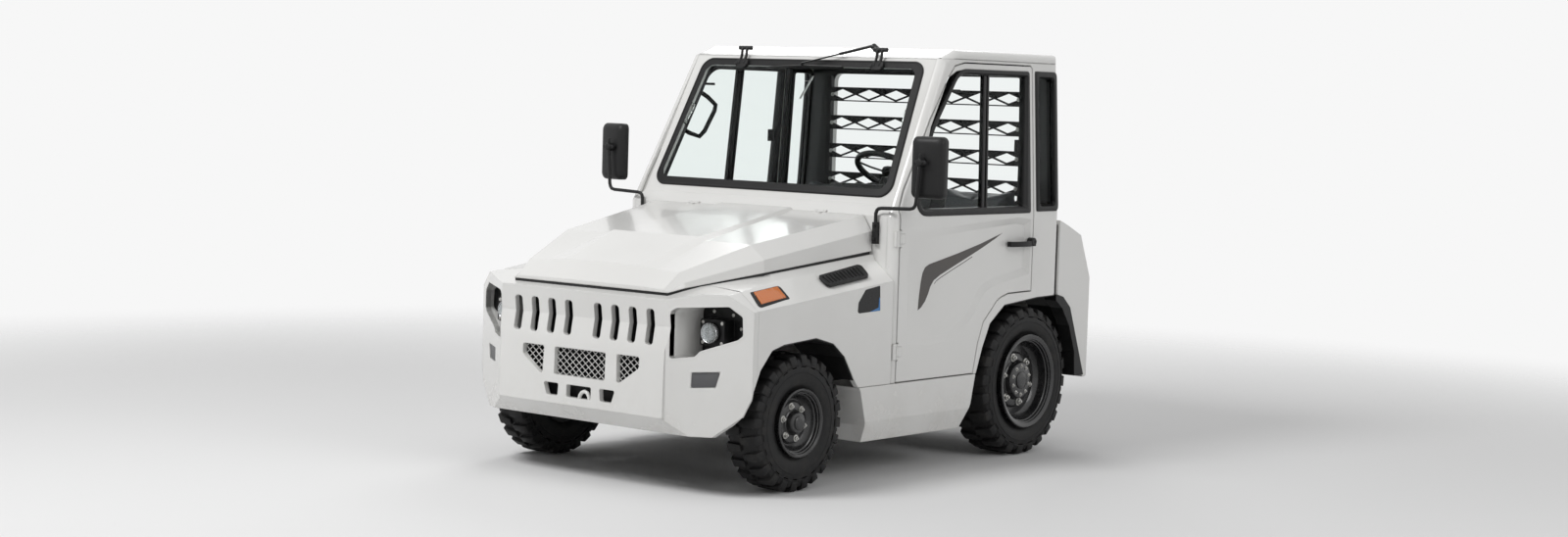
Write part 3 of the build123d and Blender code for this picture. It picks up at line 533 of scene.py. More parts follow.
def grown(outline, amount):
    """An outline moved outwards by amount, with its corners kept sharp."""
    points = [Vector(p) for p in outline]
    area = sum(points[i - 1].x * p.y - p.x * points[i - 1].y for i, p in enumerate(points))
    result = []
    for i, point in enumerate(points):
        into = (point - points[i - 1]).normalized()
        out = (points[(i + 1) % len(points)] - point).normalized()
        first = Vector((into.y, -into.x)) * math.copysign(1, area)
        second = Vector((out.y, -out.x)) * math.copysign(1, area)
        result.append(tuple(point + (first + second) * (amount / (1 + first.dot(second)))))
    return result


class Panel:
    """A closed solid in millimetres that other solids cut and trim."""

    def __init__(self, form=None, data=None):
        self.data = data or form.mesh("blank")

    def worked(self, tool, operation):
        target = bpy.data.objects.new("blank", self.data)
        other = bpy.data.objects.new("tool", (tool if isinstance(tool, Panel) else Panel(tool)).data)
        for item in (target, other):
            bpy.context.scene.collection.objects.link(item)
        step = target.modifiers.new("cut", "BOOLEAN")
        step.operation = operation
        step.solver = "EXACT"
        step.object = other
        graph = bpy.context.evaluated_depsgraph_get()
        result = Panel(data=bpy.data.meshes.new_from_object(target.evaluated_get(graph)))
        for item in (target, other):
            bpy.data.objects.remove(item)
        return result

    def __sub__(self, tool):
        return self.worked(tool, "DIFFERENCE")

    def __and__(self, tool):
        return self.worked(tool, "INTERSECT")

    def flipped(self):
        """The mirror image on the other side of the vehicle."""
        data = self.data.copy()
        work = bmesh.new()
        work.from_mesh(data)
        for vertex in work.verts:
            vertex.co.x = -vertex.co.x
        bmesh.ops.reverse_faces(work, faces=work.faces)
        work.to_mesh(data)
        work.free()
        return Panel(data=data)


def finished(name, panels, finish, body, replaces=(), crease=16.0):
    """Panels and forms put together as one finished piece in metres."""
    work = bmesh.new()
    for item in panels:
        work.from_mesh((item if isinstance(item, Panel) else Panel(item)).data)
    bmesh.ops.scale(work, vec=(0.001, 0.001, 0.001), verts=work.verts)
    bmesh.ops.dissolve_degenerate(work, dist=1e-6, edges=work.edges)
    for face in work.faces:
        face.smooth = True
    data = bpy.data.meshes.new(name)
    work.to_mesh(data)
    work.free()
    data.set_sharp_from_angle(angle=math.radians(crease))
    return placed_piece(data, finish, body, replaces)


def finished_pair(name, panels, finish, node, body=None, crease=16.0):
    """Panels as a left piece and their mirror image as a right one; body is door or the vehicle."""
    for side_name in ("left", "right"):
        side_panels = panels if side_name == "left" else [item.flipped() for item in panels]
        side_body = f"{body}_{side_name}" if body else "vehicle"
        finished(f"{name}_{side_name}", side_panels, finish, side_body, (f"{node}_{side_name}",), crease)


def flank(inset, reach=0):
    """Left edge of the cab's cross section, drawn in by inset and run on by reach."""
    low = HALF - inset
    lean = LEAN / (ROOF - BELT)
    return [(low, SILL - reach), (low, BELT), (low - LEAN - lean * reach, ROOF + reach)]


def rounded_cab():
    """The cab's outer form, with the corners between sides, front, rear and roof rounded."""
    work = bmesh.new()
    profile = (
        (CAB_FRONT, SILL), (CAB_FRONT, BELT), (983, ROOF - 44), (1104, ROOF), (CAB_REAR, ROOF), (CAB_REAR, BELT),
        (CAB_REAR, SILL),
    )
    for d, z in profile:
        x = HALF - LEAN * max(0, z - BELT) / (ROOF - BELT)
        for side in (-1, 1):
            work.verts.new((side * x, FRONT_Y + d, z))
    bmesh.ops.convex_hull(work, input=work.verts)
    bmesh.ops.dissolve_limit(work, angle_limit=0.004, verts=work.verts, edges=work.edges)
    corners = []
    for edge in work.edges:
        middle = (edge.verts[0].co + edge.verts[1].co) / 2
        run = (edge.verts[0].co - edge.verts[1].co).normalized()
        belt = abs(middle.z - BELT) < 1 and abs(run.y) > 0.9
        if abs(middle.x) > HALF - LEAN - 1 and middle.z > SILL + 1 and not belt:
            corners.append(edge)
    bmesh.ops.bevel(
        work, geom=corners, offset=CORNER_R, offset_type="OFFSET", segments=8, profile=0.5, affect="EDGES",
        clamp_overlap=False,
    )
    bmesh.ops.recalc_face_normals(work, faces=work.faces)
    data = bpy.data.meshes.new("cab")
    work.to_mesh(data)
    work.free()
    return Panel(data=data)


cab_outer = rounded_cab()
cab_inner = cross_prism(both_sides(flank(SIDE_T, 50)), CAB_FRONT - 50, CAB_REAR + 50)
below_roof = block(-WIDE, WIDE, -1000, 4000, 0, ROOF - ROOF_T)
beyond_left = cross_prism(flank(SIDE_T, 50) + [(WIDE, ROOF + 50), (WIDE, SILL - 50)], -1000, 4000)
side_slab = (cab_outer & beyond_left) & below_roof

FRONT_ARCH = [
    (-363, 0), (-363, 345), (-336, 456), (-296, 542), (-224, 619), (-148, 639),
    (67, 655), (189, 623), (267, 563), (342, 451), (387, 401), (430, 247), (430, 0),
]
REAR_ARCH = rear([
    (-533, 0), (-533, 173), (-477, 282), (-446, 412), (-398, 537), (-341, 648), (-226, 729),
    (46, 753), (215, 757), (270, 744), (334, 690), (474, 352), (474, 0),
])
ARCH_IN = HALF - 243
DOOR_EDGE = front([
    (640, SILL + 4), (640, 1187), (681, 1271), (871, ROOF - 320), (1010, ROOF - 132), (1065, ROOF - 77),
    (1142, ROOF - 61),
]) + rear([
    (-23, ROOF - 61), (-11, ROOF - 73), (-11, 788), (-202, 784), (-262, 768), (-292, 754), (-398, 660),
    (-440, 560), (-471, SILL + 4),
])
WINDOW_EDGE = front([(753, 1227), (768, 1188), (805, 1163), (850, 1156)]) + rear([
    (-45, 1156), (-33, 1168), (-33, ROOF - 96), (-45, ROOF - 84),
]) + front([(1141, ROOF - 88), (1075, ROOF - 97), (1010, ROOF - 128), (870, ROOF - 353)])
QUARTER_EDGE = rear([(14, 1163), (14, ROOF - 83), (192, ROOF - 83), (192, 1163)])
door_reach = (HALF - 150, HALF + 50)
window_hole = side_prism(WINDOW_EDGE, *door_reach)

cab_side = side_slab - side_prism(grown(DOOR_EDGE, PANEL_GAP), *door_reach)
cab_side = (cab_side - side_prism(QUARTER_EDGE, *door_reach)) - side_prism(REAR_ARCH, ARCH_IN, WIDE)
finished_pair("cab_side_panel", [cab_side], cab_paint, "cab_side")

# Doors: a thick painted panel each, with a hollow dished into it below the belt line.
DISH_DEPTH = 22
DISH_START = 700
DISH_RIM = rear([
    (-985, 1062), (-740, 1100), (-549, 1114), (-333, 1126), (-131, 1136), (-28, 1126), (-28, 868),
    (-193, 842), (-274, 834), (-333, 819), (-392, 799), (-429, 761), (-456, 722), (-484, 690),
    (-521, 658), (-577, 627), (-634, 602), (-709, 584), (-822, 574), (-985, 590),
])
DISH_FLOOR = rear([
    (-980, 1040), (-740, 1066), (-549, 1080), (-333, 1094), (-131, 1106), (-52, 1098), (-52, 894),
    (-200, 868), (-286, 860), (-350, 844), (-412, 820), (-452, 778), (-480, 738), (-508, 708),
    (-544, 680), (-594, 652), (-644, 628), (-712, 610), (-822, 600), (-980, 612),
])


def dish_x(y):
    """X of the hollow's floor, which falls in steadily towards the rear."""
    run = (y - FRONT_Y - DISH_START) / (WHEELBASE - 11 - DISH_START)
    return HALF - DISH_DEPTH * (0.25 + 0.75 * run)


dish = Form().loft([
    [(HALF + 5, y, z) for y, z in DISH_RIM], [(HALF, y, z) for y, z in DISH_RIM],
    [(dish_x(y), y, z) for y, z in DISH_FLOOR],
])
HINGE_D = 638
HINGE_HEIGHTS = (560, 1060)
BARREL_R = 8.0
hinge_ears, hinge_barrels, hinge_slots = Form(), Form(), Form()
hinge_line = (HALF, FRONT_Y + HINGE_D, 0)
for hinge_z in HINGE_HEIGHTS:
    for low, high in ((hinge_z - 36.3, hinge_z - 22.3), (hinge_z + 22.3, hinge_z + 36.3)):
        hinge_ears.lathe([(low, 0.5), (low, BARREL_R), (high, BARREL_R), (high, 0.5)], hinge_line, 24, (0, 0, 1), False)
    hinge_ears.plus(block(HALF - 9, HALF + 5, HINGE_D - 32, HINGE_D - 9, hinge_z - 36, hinge_z + 36))
    hinge_barrels.lathe(
        [(hinge_z - 22, 0.5), (hinge_z - 22, BARREL_R), (hinge_z + 22, BARREL_R), (hinge_z + 22, 0.5)],
        hinge_line, 24, (0, 0, 1), False)
    hinge_barrels.plus(block(HALF - 9, HALF + 5, HINGE_D + 6, HINGE_D + 32, hinge_z - 22, hinge_z + 22))
    hinge_slots.plus(block(HALF - 20, HALF + 20, HINGE_D - 1, HINGE_D + 12, hinge_z - 40, hinge_z + 40))
door = (((side_slab & side_prism(DOOR_EDGE, *door_reach)) - window_hole) - hinge_slots) - dish
finished_pair("door_panel", [door, hinge_barrels], cab_paint, "door", "door")
finished("door_hinge_ears", [twice(hinge_ears)], outer_paint, "vehicle")

# Door handles: a bowed black pull bar with a round lock boss at its rear foot.
HANDLE_Z = 1012
HANDLE_START, HANDLE_END = WHEELBASE - 208, WHEELBASE - 15
handle = Panel(plan_prism([
    (HALF - 9, HANDLE_START), (HALF + 12, HANDLE_START), (HALF + 26, HANDLE_START + 30), (HALF + 34, HANDLE_START + 75),
    (HALF + 34, HANDLE_START + 120), (HALF + 24, HANDLE_END - 20), (HALF + 24, HANDLE_END), (HALF - 1, HANDLE_END),
    (HALF - 1, HANDLE_END - 40), (HALF + 12, HANDLE_END - 48), (HALF + 18, HANDLE_START + 110),
    (HALF + 14, HANDLE_START + 50), (HALF + 4, HANDLE_START + 22), (HALF - 9, HANDLE_START + 22),
], HANDLE_Z - 12, HANDLE_Z + 12))
boss = Form().lathe([(HALF - 1, 20), (HALF + 27, 20), (HALF + 30, 17), (HALF + 30, 8), (HALF + 28, 7), (HALF + 28, 1)],
                    (0, FRONT_Y + HANDLE_END - 22, HANDLE_Z + 8), 40, (1, 0, 0), False)
finished_pair("door_handle_bow", [handle, boss], black_moulding, "door_handle", "door")

# Side glass: flat toughened panes just inside the skin, in the doors and the quarter windows.
PANE_DEPTHS = (0.018, 0.024)
door_pane, quarter_pane = (
    Form().loft([on_side([(y / 1000, z / 1000) for y, z in edge], depth) for depth in PANE_DEPTHS])
    for edge in (WINDOW_EDGE, QUARTER_EDGE)
)
for side_name, form in (("left", door_pane), ("right", door_pane.flipped())):
    fitted(f"door_pane_{side_name}", form, glass, f"door_{side_name}", 0.0, (f"door_glass_{side_name}",))
fitted("quarter_panes", twice(quarter_pane), glass, "vehicle", 0.0, ("quarter_glasses",))

# Cab front: the bulkhead behind the engine bay, the cowl and the raked windscreen on its frame.
screen_slope = math.atan(screen_run)
screen_up = Vector((0, math.sin(screen_slope), math.cos(screen_slope)))
screen_out = Vector((0, -math.cos(screen_slope), math.sin(screen_slope)))
screen_origin = Vector((0, fy(SCREEN_FOOT[0]), SCREEN_FOOT[1]))
screen_length = (SCREEN_HEAD[1] - SCREEN_FOOT[1]) / math.cos(screen_slope)
SCREEN_HALF_LOW = half_width - 0.091
SCREEN_HALF_HIGH = half_width - 0.140
GLASS_T = 0.006


def screen_outline(inset, radius):
    """Outline of the windscreen as (x, way up the slope) pairs, drawn in by inset."""
    low, high = 0.041 + inset, screen_length - 0.010 - inset
    return rounded([
        (SCREEN_HALF_LOW - inset, low), (SCREEN_HALF_HIGH - inset, high),
        (inset - SCREEN_HALF_HIGH, high), (inset - SCREEN_HALF_LOW, low),
    ], (radius,) * 4, 10)


def on_screen(outline, height):
    """Those pairs as points at a height over the plane of the screen's inner face."""
    return [screen_origin + Vector((x, 0, 0)) + screen_up * s + screen_out * height for x, s in outline]


WALL_T = 40
foot_d, foot_z = SCREEN_FOOT[0] * 1000, SCREEN_FOOT[1] * 1000
head_d, head_z = SCREEN_HEAD[0] * 1000, SCREEN_HEAD[1] * 1000
front_wall = Panel(side_prism(front([
    (CAB_FRONT - 10, SILL), (CAB_FRONT - 10, 1150), (CAB_FRONT + 14, 1170), (foot_d, foot_z), (head_d, head_z),
    (head_d + 8, ROOF - ROOF_T), (head_d + 8 + WALL_T, ROOF - ROOF_T), (foot_d + 32, 1172),
    (CAB_FRONT + WALL_T, 1130), (CAB_FRONT + WALL_T, SILL),
]), -WIDE, WIDE))
screen_hole = Form().slab([p * 1000 for p in on_screen(screen_outline(0.026, 0.036), -0.2)], screen_out * 400)
cab_front = ((front_wall & cab_inner) & cab_outer) - screen_hole
finished("cab_front_frame", [cab_front], cab_paint, "vehicle", ("cab_front",))
screen_glass = Form().loft([on_screen(screen_outline(0, 0.062), height) for height in (0.0, GLASS_T)])
fitted("windscreen_glass", screen_glass, glass, "vehicle", 0.0, ("windscreen",))

# Roof and rear wall: the roof moulding sits on the walls; the rear wall has one large opening.
roof = cab_outer & block(-WIDE, WIDE, -1000, 4000, ROOF - ROOF_T, ROOF + 50)
seam_core = cross_prism(both_sides(flank(5, 50)), 1000, CAB_REAR - 5)
roof = roof - (Panel(block(-WIDE, WIDE, 990, 4000, ROOF - ROOF_T - 5, ROOF - ROOF_T + 4)) - seam_core)
finished("roof_moulding", [roof], cab_paint, "vehicle", ("roof",))
REAR_OPEN_X = HALF - 215
REAR_LOW, REAR_HIGH = 1192, ROOF - 112
rear_hole = rounded([
    (-REAR_OPEN_X, REAR_LOW), (-REAR_OPEN_X, REAR_HIGH), (REAR_OPEN_X, REAR_HIGH), (REAR_OPEN_X, REAR_LOW)], (40,) * 4)
rear_wall = Panel(block(-WIDE, WIDE, CAB_REAR - WALL_T, CAB_REAR, 760, ROOF - ROOF_T))
rear_wall = ((rear_wall - cross_prism(rear_hole, CAB_REAR - 100, CAB_REAR + 100)) & cab_inner) & cab_outer
finished("rear_wall_frame", [rear_wall], cab_paint, "vehicle", ("cab_rear_wall",))

# Rear guard: four black steel slats cut into a lattice of diamonds over triangles, bolted to a
# post at each side.
GUARD_D = CAB_REAR - WALL_T - 14
SLAT_HEIGHTS = (1258, 1402, 1546, 1690)
POST_X = REAR_OPEN_X + 12
hole_pitch = 2 * POST_X / 7
guard = []
for slat_z in SLAT_HEIGHTS:
    holes = Form()
    for hole in range(7):
        x = (hole - 3) * hole_pitch
        holes.plus(cross_prism([(x - 70, slat_z + 2), (x, slat_z + 26), (x + 70, slat_z + 2), (x, slat_z - 22)],
                               GUARD_D - 9, GUARD_D + 9))
        if hole < 6:
            holes.plus(cross_prism([
                (x + 4, slat_z - 30), (x + hole_pitch / 2, slat_z - 2), (x + hole_pitch - 4, slat_z - 30),
            ], GUARD_D - 9, GUARD_D + 9))
    guard.append(Panel(block(-POST_X, POST_X, GUARD_D - 3, GUARD_D + 3, slat_z - 36, slat_z + 36)) - holes)
guard.append(twice(block(POST_X - 14, POST_X + 14, GUARD_D - 6, GUARD_D + 14, REAR_LOW + 10, REAR_HIGH - 10)))
finished("rear_guard_slats", guard, chassis_black, "vehicle", ("rear_guard",))

# Front body: one moulded form parted behind its corner facets, with the hood's opening in its top.
FACET_X, FACET_D, FENDER_D = HALF - 317, -535, -345
FLAT_CREASE = 5.0
# station, inner edge in from the side, its height, knee in from the side, its height, crease height
BODY_SECTIONS = (
    (-560, 335, 816, 98, 835, 769),
    (FENDER_D, 286, 870, 98, 856, 783),
    (-49, 169, 918, 140, 893, 811),
    (CAB_FRONT, 119, 987, 105, 962, 876),
)
NOSE_PROFILE = [
    (FACET_D, 903), (FACET_D, 823), (-520, 708), (-538, 604), (-542, 455), (-543, 328), (-479, 258)]
PANEL_T = 25


def body_volume(inset):
    """Front body as a closed form between its cross sections, drawn in by inset."""
    return stations((d, both_sides([
        (HALF - inset, 100), (HALF - inset, crease_z - inset * 0.8),
        (HALF - knee_in - inset * 0.2, knee_z - inset), (HALF - inner_in, inner_z - inset),
    ])) for d, inner_in, inner_z, knee_in, knee_z, crease_z in BODY_SECTIONS)


def nose_solid(inset, low):
    """The front body trimmed to its plan and its side profile."""
    slope = (FENDER_D - FACET_D) / (HALF - FACET_X)
    shift = inset * math.sqrt(1 + slope * slope)
    facet_start = FACET_X - (shift - inset) / slope
    half_plan = [
        (facet_start, FACET_D - 30 + inset), (facet_start, FACET_D + inset),
        (HALF - inset, FENDER_D + shift - slope * inset), (HALF - inset, CAB_FRONT + 10),
    ]
    profile = [(d + inset, z) for d, z in NOSE_PROFILE] + [(NOSE_PROFILE[-1][0] + inset, low)]
    profile += [(CAB_FRONT + 10, low), (CAB_FRONT + 10, 1100), (FACET_D + inset, 1100)]
    form = Panel(body_volume(inset)) & plan_prism(both_sides(half_plan), 0, 1200)
    return form & side_prism(front(profile), -WIDE, WIDE)


# station, then distance in from the side and height of the low edge, the shoulder and the top
# edge, then of the raised field its foot and rim, in from the side, and its rise
HOOD_FRONT = -495
HOOD_SECTIONS = (
    (HOOD_FRONT, 348, 845, 351, 851, 372, 858, 480, 588, 0),
    (-414, 323, 863, 329, 884, 360, 926, 478, 586, 11),
    (-79, 175, 925, 179, 978, 255, 1039, 505, 545, 14),
    (CAB_FRONT - PANEL_GAP, 124, 1000, 126, 1087, 173, 1157, 578, 592, 9),
)
opening = [(HALF - section[1] - 23, section[0]) for section in HOOD_SECTIONS]
opening[0] = (opening[0][0], HOOD_FRONT + 14)
opening[-1] = (opening[-1][0], CAB_FRONT + 20)
front_shell = nose_solid(0, NOSE_PROFILE[-1][1]) - nose_solid(PANEL_T, 50)
front_shell = front_shell - plan_prism(both_sides(opening), 700, 1200)
front_shell = front_shell - twice(side_prism(front(FRONT_ARCH), ARCH_IN, WIDE))
front_shell = front_shell - block(-WIDE, WIDE, 300, CAB_FRONT + 40, 0, SILL)
front_shell = front_shell - block(-WIDE, WIDE, CAB_FRONT, CAB_FRONT + 40, -50, 1250)

PARTING_D = -316
fender = front_shell & block(HALF - 363, WIDE, PARTING_D, CAB_FRONT + 5, 0, 1200)
finished_pair("fender_panel", [fender], outer_paint, "fender", crease=FLAT_CREASE)

# Grille panel: a thick moulding with tall slots, a mesh window between two smaller ones, a row of
# low slots, and a deep headlamp bucket in each corner facet.
LAMP_EDGE = (
    (302, 578, 10), (302, 773, 22), (281, 789, 22), (91, 802, 14), (42, 762, 14),
    (39, 685, 14), (57, 667, 14), (192, 614, 14), (210, 591, 12),
)
BUCKET_D = -318
lamp_points = [(HALF - in_x, z) for in_x, z, radius in LAMP_EDGE]
lamp_hole = cross_prism(rounded(lamp_points, [radius for in_x, z, radius in LAMP_EDGE]), -570, BUCKET_D + 20)
bucket = (Panel(cross_prism(grown(lamp_points, 6), -570, BUCKET_D)) & nose_solid(1, 50)) - lamp_hole
chin_cut = cross_prism(
    [(HALF - 160, 200), (HALF - 148, 252), (HALF - 37, 345), (WIDE, 390), (WIDE, 200)], -570, PARTING_D)
fascia = front_shell & block(-WIDE, WIDE, -600, PARTING_D, 0, 1200)
fascia = (fascia - twice(chin_cut)) - twice(lamp_hole)
slots = Form()
for column in range(4):
    slot_x = 86 + column * 100.6
    slots.plus(twice(cross_prism(rounded(
        [(slot_x - 22, 626), (slot_x - 22, 776), (slot_x + 22, 776), (slot_x + 22, 626)], (15,) * 4), -570, -470)))
MIDDLE_WINDOW = rounded([(-149.5, 453), (-149.5, 571), (149.5, 571), (149.5, 453)], (8,) * 4)
SIDE_WINDOW = rounded([(219, 453), (236, 453), (343, 524), (343, 571), (214, 571)], (6, 6, 20, 10, 8))
LOW_SLOT = rounded([(126, 362), (191, 362), (211, 416), (121, 416)], (8,) * 4)
MIDDLE_SLOT = rounded([(-72, 362), (-72, 416), (72, 416), (72, 362)], (8,) * 4)
for window in (MIDDLE_WINDOW, MIDDLE_SLOT):
    slots.plus(cross_prism(window, -570, -470))
for window in (SIDE_WINDOW, LOW_SLOT):
    slots.plus(twice(cross_prism(window, -570, -470)))
fog_recess = Panel(cross_prism([
    (HALF - 223, 460), (HALF - 221, 525), (HALF - 116, 532), (HALF - 132, 466)], -570, -400)) - nose_solid(6, 50)
fascia = ((fascia - slots) - fog_recess) - fog_recess.flipped()
finished("grille_panel", [fascia, bucket, bucket.flipped()], outer_paint, "vehicle", ("front_fascia",))

# Grille mesh: painted expanded metal behind the three windows, in diamonds.
MESH_PITCH_X, MESH_PITCH_Z = 0.0374, 0.0300
MESH_Y = fy(-0.522)


def clipped(start, way, outline):
    """The stretch of a line inside a convex outline, or None."""
    hits = []
    for i, point in enumerate(outline):
        a, b = Vector(outline[i - 1]), Vector(point)
        edge = b - a
        cross = way.x * edge.y - way.y * edge.x
        if abs(cross) > 1e-9:
            gap = a - start
            share = (gap.x * way.y - gap.y * way.x) / cross
            if -1e-6 <= share <= 1 + 1e-6:
                hits.append((gap.x * edge.y - gap.y * edge.x) / cross)
    return (min(hits), max(hits)) if len(hits) > 1 and max(hits) - min(hits) > 0.004 else None


mesh_wires = Form()
for window in (MIDDLE_WINDOW, SIDE_WINDOW, [(-x, z) for x, z in reversed(SIDE_WINDOW)]):
    outline = [(x / 1000, z / 1000) for x, z in grown(window, 3)]
    for lean in (1, -1):
        way = Vector((MESH_PITCH_X, lean * MESH_PITCH_Z)).normalized()
        for step in range(-18, 19):
            start = Vector((step * MESH_PITCH_X, 0.468))
            span = clipped(start, way, outline)
            if span:
                ends = [start + way * reach for reach in span]
                mesh_wires.bar([(p.x, MESH_Y + lean * 0.0006, p.y) for p in ends], 0.0021, 6)
fitted("grille_mesh", mesh_wires, outer_paint, "vehicle")


# Hood: a hollow lid with chamfered flanks and a raised middle field, hinged at its rear edge.
def hood_volume(inset, low):
    """The hood's outer form, or its hollow when drawn in by inset and let down by low."""
    outlines = []
    for d, low_in, low_z, side_in, side_z, top_in, top_z, foot_in, rim_in, rise in HOOD_SECTIONS:
        top = max(top_z - inset, low_z - low + 2)
        outlines.append((d, both_sides([
            (HALF - low_in - inset, low_z - low), (HALF - side_in - inset, max(side_z - inset, low_z - low + 1)),
            (HALF - top_in - inset * 0.6, top), (HALF - foot_in, top + 3), (HALF - rim_in, top + 4 + rise),
        ])))
    return stations(outlines)


hood = Panel(hood_volume(0, 0)) - hood_volume(18, 40)
hood_end = Panel(block(-600, 600, CAB_FRONT - PANEL_GAP - 18, CAB_FRONT - PANEL_GAP, 1045, 1139)) & hood_volume(1, 0)
HOOD_AXIS_D, HOOD_AXIS_Z = CAB_FRONT - 2, 1160
barrels = Form()
for hinge_x in (-380, 380):
    barrels.lathe([(hinge_x - 20, 3.6), (hinge_x - 20, 7), (hinge_x + 20, 7), (hinge_x + 20, 3.6)],
                  (0, FRONT_Y + HOOD_AXIS_D, HOOD_AXIS_Z), 20)
    barrels.plus(block(hinge_x - 20, hinge_x + 20, HOOD_AXIS_D - 32, HOOD_AXIS_D - 5, HOOD_AXIS_Z - 10, HOOD_AXIS_Z - 2))
finished("hood_lid", [hood, hood_end, barrels], outer_paint, "hood", ("hood",), FLAT_CREASE)

# Headlamp bodies: a square black housing with a round nose on the plate that closes each bucket.
LAMP_IN, LAMP_CZ = 197, 686
lamp_plate = cross_prism(grown(lamp_points, 5), BUCKET_D, BUCKET_D + 8)
lamp_box = cross_prism(rounded([
    (HALF - LAMP_IN - 66, LAMP_CZ - 56), (HALF - LAMP_IN - 66, LAMP_CZ + 56), (HALF - LAMP_IN + 66, LAMP_CZ + 56),
    (HALF - LAMP_IN + 66, LAMP_CZ - 56)], (10,) * 4, 4), BUCKET_D - 62, BUCKET_D)
lamp_nose = Form().lathe([(BUCKET_D - 76, 1), (BUCKET_D - 76, 38), (BUCKET_D - 60, 38), (BUCKET_D - 60, 1)],
                         (HALF - LAMP_IN, FRONT_Y, LAMP_CZ), 48, (0, 1, 0), False)
finished("headlamp_bodies", [twice(lamp_plate), twice(lamp_box), twice(lamp_nose)], frame_black, "vehicle",
         ("headlamps",))

# Fender vents: black mouldings with eleven louvre slits, let into the slope of each fender.
SIDE_IN = HALF - 98
fender_cap = Panel(body_volume(-7)) - body_volume(0)
vent_plan = rounded([(SIDE_IN, 184), (SIDE_IN - 1, 480), (SIDE_IN + 61, 472), (SIDE_IN + 64, 180)], (18,) * 4)
slits = Form()
for louvre in range(11):
    d = 200 + louvre * 256 / 11
    slits.plus(plan_prism([(SIDE_IN + 10, d), (SIDE_IN + 10, d + 11), (SIDE_IN + 54, d + 11), (SIDE_IN + 54, d)], 700, 1100))
louvre_cut = (Panel(body_volume(-9)) - body_volume(-1)) & slits
vent = (fender_cap & plan_prism(vent_plan, 700, 1100)) - louvre_cut
finished("louvred_vents", [vent, vent.flipped()], black_moulding, "vehicle", ("fender_vents",))

# Mirrors: a deep black case on a bent tube arm from the front face of the cab.
ARM_Y = fy(0.586)
FOOT_X, ELBOW_X = half_width - 0.100, half_width + 0.115
arm_route = [
    (FOOT_X, 1.036), (FOOT_X, 1.168), (FOOT_X + 0.005, 1.182), (FOOT_X + 0.014, 1.190), (FOOT_X + 0.030, 1.193),
    (ELBOW_X - 0.030, 1.198), (ELBOW_X - 0.012, 1.202), (ELBOW_X - 0.003, 1.212), (ELBOW_X + 0.002, 1.228),
    (ELBOW_X + 0.018, 1.425),
]
mirror_form = Form().bar([(x, ARM_Y, z) for x, z in arm_route], 0.008, 16)
mirror_form.bar([(ELBOW_X + 0.016, ARM_Y, 1.400), (ELBOW_X + 0.016, ARM_Y + 0.034, 1.400)], 0.008, 12)
mirror_form.box((FOOT_X - 0.012, ARM_Y - 0.008, 1.034), (FOOT_X + 0.012, fy(0.602), 1.130))
mirror_place = Matrix.Translation((half_width + 0.142, fy(0.640), 1.380)) @ Matrix.Rotation(math.radians(10.0), 4, "Z")
case = Form().loft([
    [(x, y, z) for x, z in rounded(
        [(x * (0.080 - shrink), z * (0.136 - shrink)) for x, z in ((-1, -1), (1, -1), (1, 1), (-1, 1))], (0.026,) * 4, 6)]
    for y, shrink in ((-0.028, 0.026), (-0.025, 0.016), (-0.020, 0.008), (-0.013, 0.003), (-0.004, 0.0), (0.024, 0.0))
])
mirror_form.plus(case.moved(mirror_place))
for side_name, form in (("left", mirror_form), ("right", mirror_form.flipped())):
    fitted(f"mirror_assembly_{side_name}", form, black_moulding, "vehicle", 0.0, (f"mirror_{side_name}",))

# Instrument hood: a raised binnacle on the dash in front of the steering wheel.
binnacle = side_prism(front([(790, 1200), (800, 1262), (822, 1284), (900, 1282), (934, 1240), (920, 1200)]),
                      HALF - 540, HALF - 200)
finished("instrument_hood", [binnacle], black_moulding, "vehicle")

# Rear lamps: a block of lenses on each side of the rear body.
rear_edge = rear([
    (225, 300), (225, 1115), (300, 1088), (415, 1039), (522, 795), (527, 560),
    (508, 548), (508, 524), (527, 508), (527, 358), (492, 341), (480, 300),
])
tail_lamp = Panel(plan_prism(rounded([
    (HALF - 190, WHEELBASE + 500), (HALF - 190, WHEELBASE + 548), (HALF - 60, WHEELBASE + 548), (HALF - 60, WHEELBASE + 500),
], (0.5, 14, 14, 0.5)), 620, 745)) - side_prism(rear_edge, -WIDE, WIDE)
red = Finish("red lens", (0.50, 0.02, 0.015), 0.14, Transmission_Weight=0.15, IOR=1.49, Coat_Weight=0.4)
rib = red.bands(42.0, "X")
x, y, z = red.along()
band = red.soft(z, 0.702, 0.704)
red.set("Base Color", red.blend(band, red.blend(rib, (0.34, 0.010, 0.008), (0.56, 0.025, 0.018)), (0.80, 0.22, 0.02)))
red.bump(rib, 0.5, 0.0015, 0.003)
finished("rear_lamp_lenses", [tail_lamp, tail_lamp.flipped()], red, "vehicle")

# Door window frames: an extruded rubber-edged aluminium frame in satin black, set in each door's
# window opening, with a divider between the two panes and a latch on the rear one.
DOOR_WINDOW = rounded([
    (fy(0.752), 1.157), (ry(-0.034), 1.157), (ry(-0.034), roof_top - 0.085),
    (fy(1.096), roof_top - 0.085), (fy(0.872), roof_top - 0.353), (fy(0.753), 1.228),
], (0.072, 0.012, 0.012, 0.13, 0.30, 0.06))
DOOR_PANE = rounded([
    (fy(0.800), 1.189), (ry(-0.088), 1.189), (ry(-0.060), roof_top - 0.112),
    (fy(1.105), roof_top - 0.112), (fy(0.888), roof_top - 0.392), (fy(0.800), 1.237),
], (0.030, 0.010, 0.010, 0.12, 0.28, 0.03))
WINDOW_CENTRE = ((fy(0.95) + ry(-0.1)) / 2, 1.46)
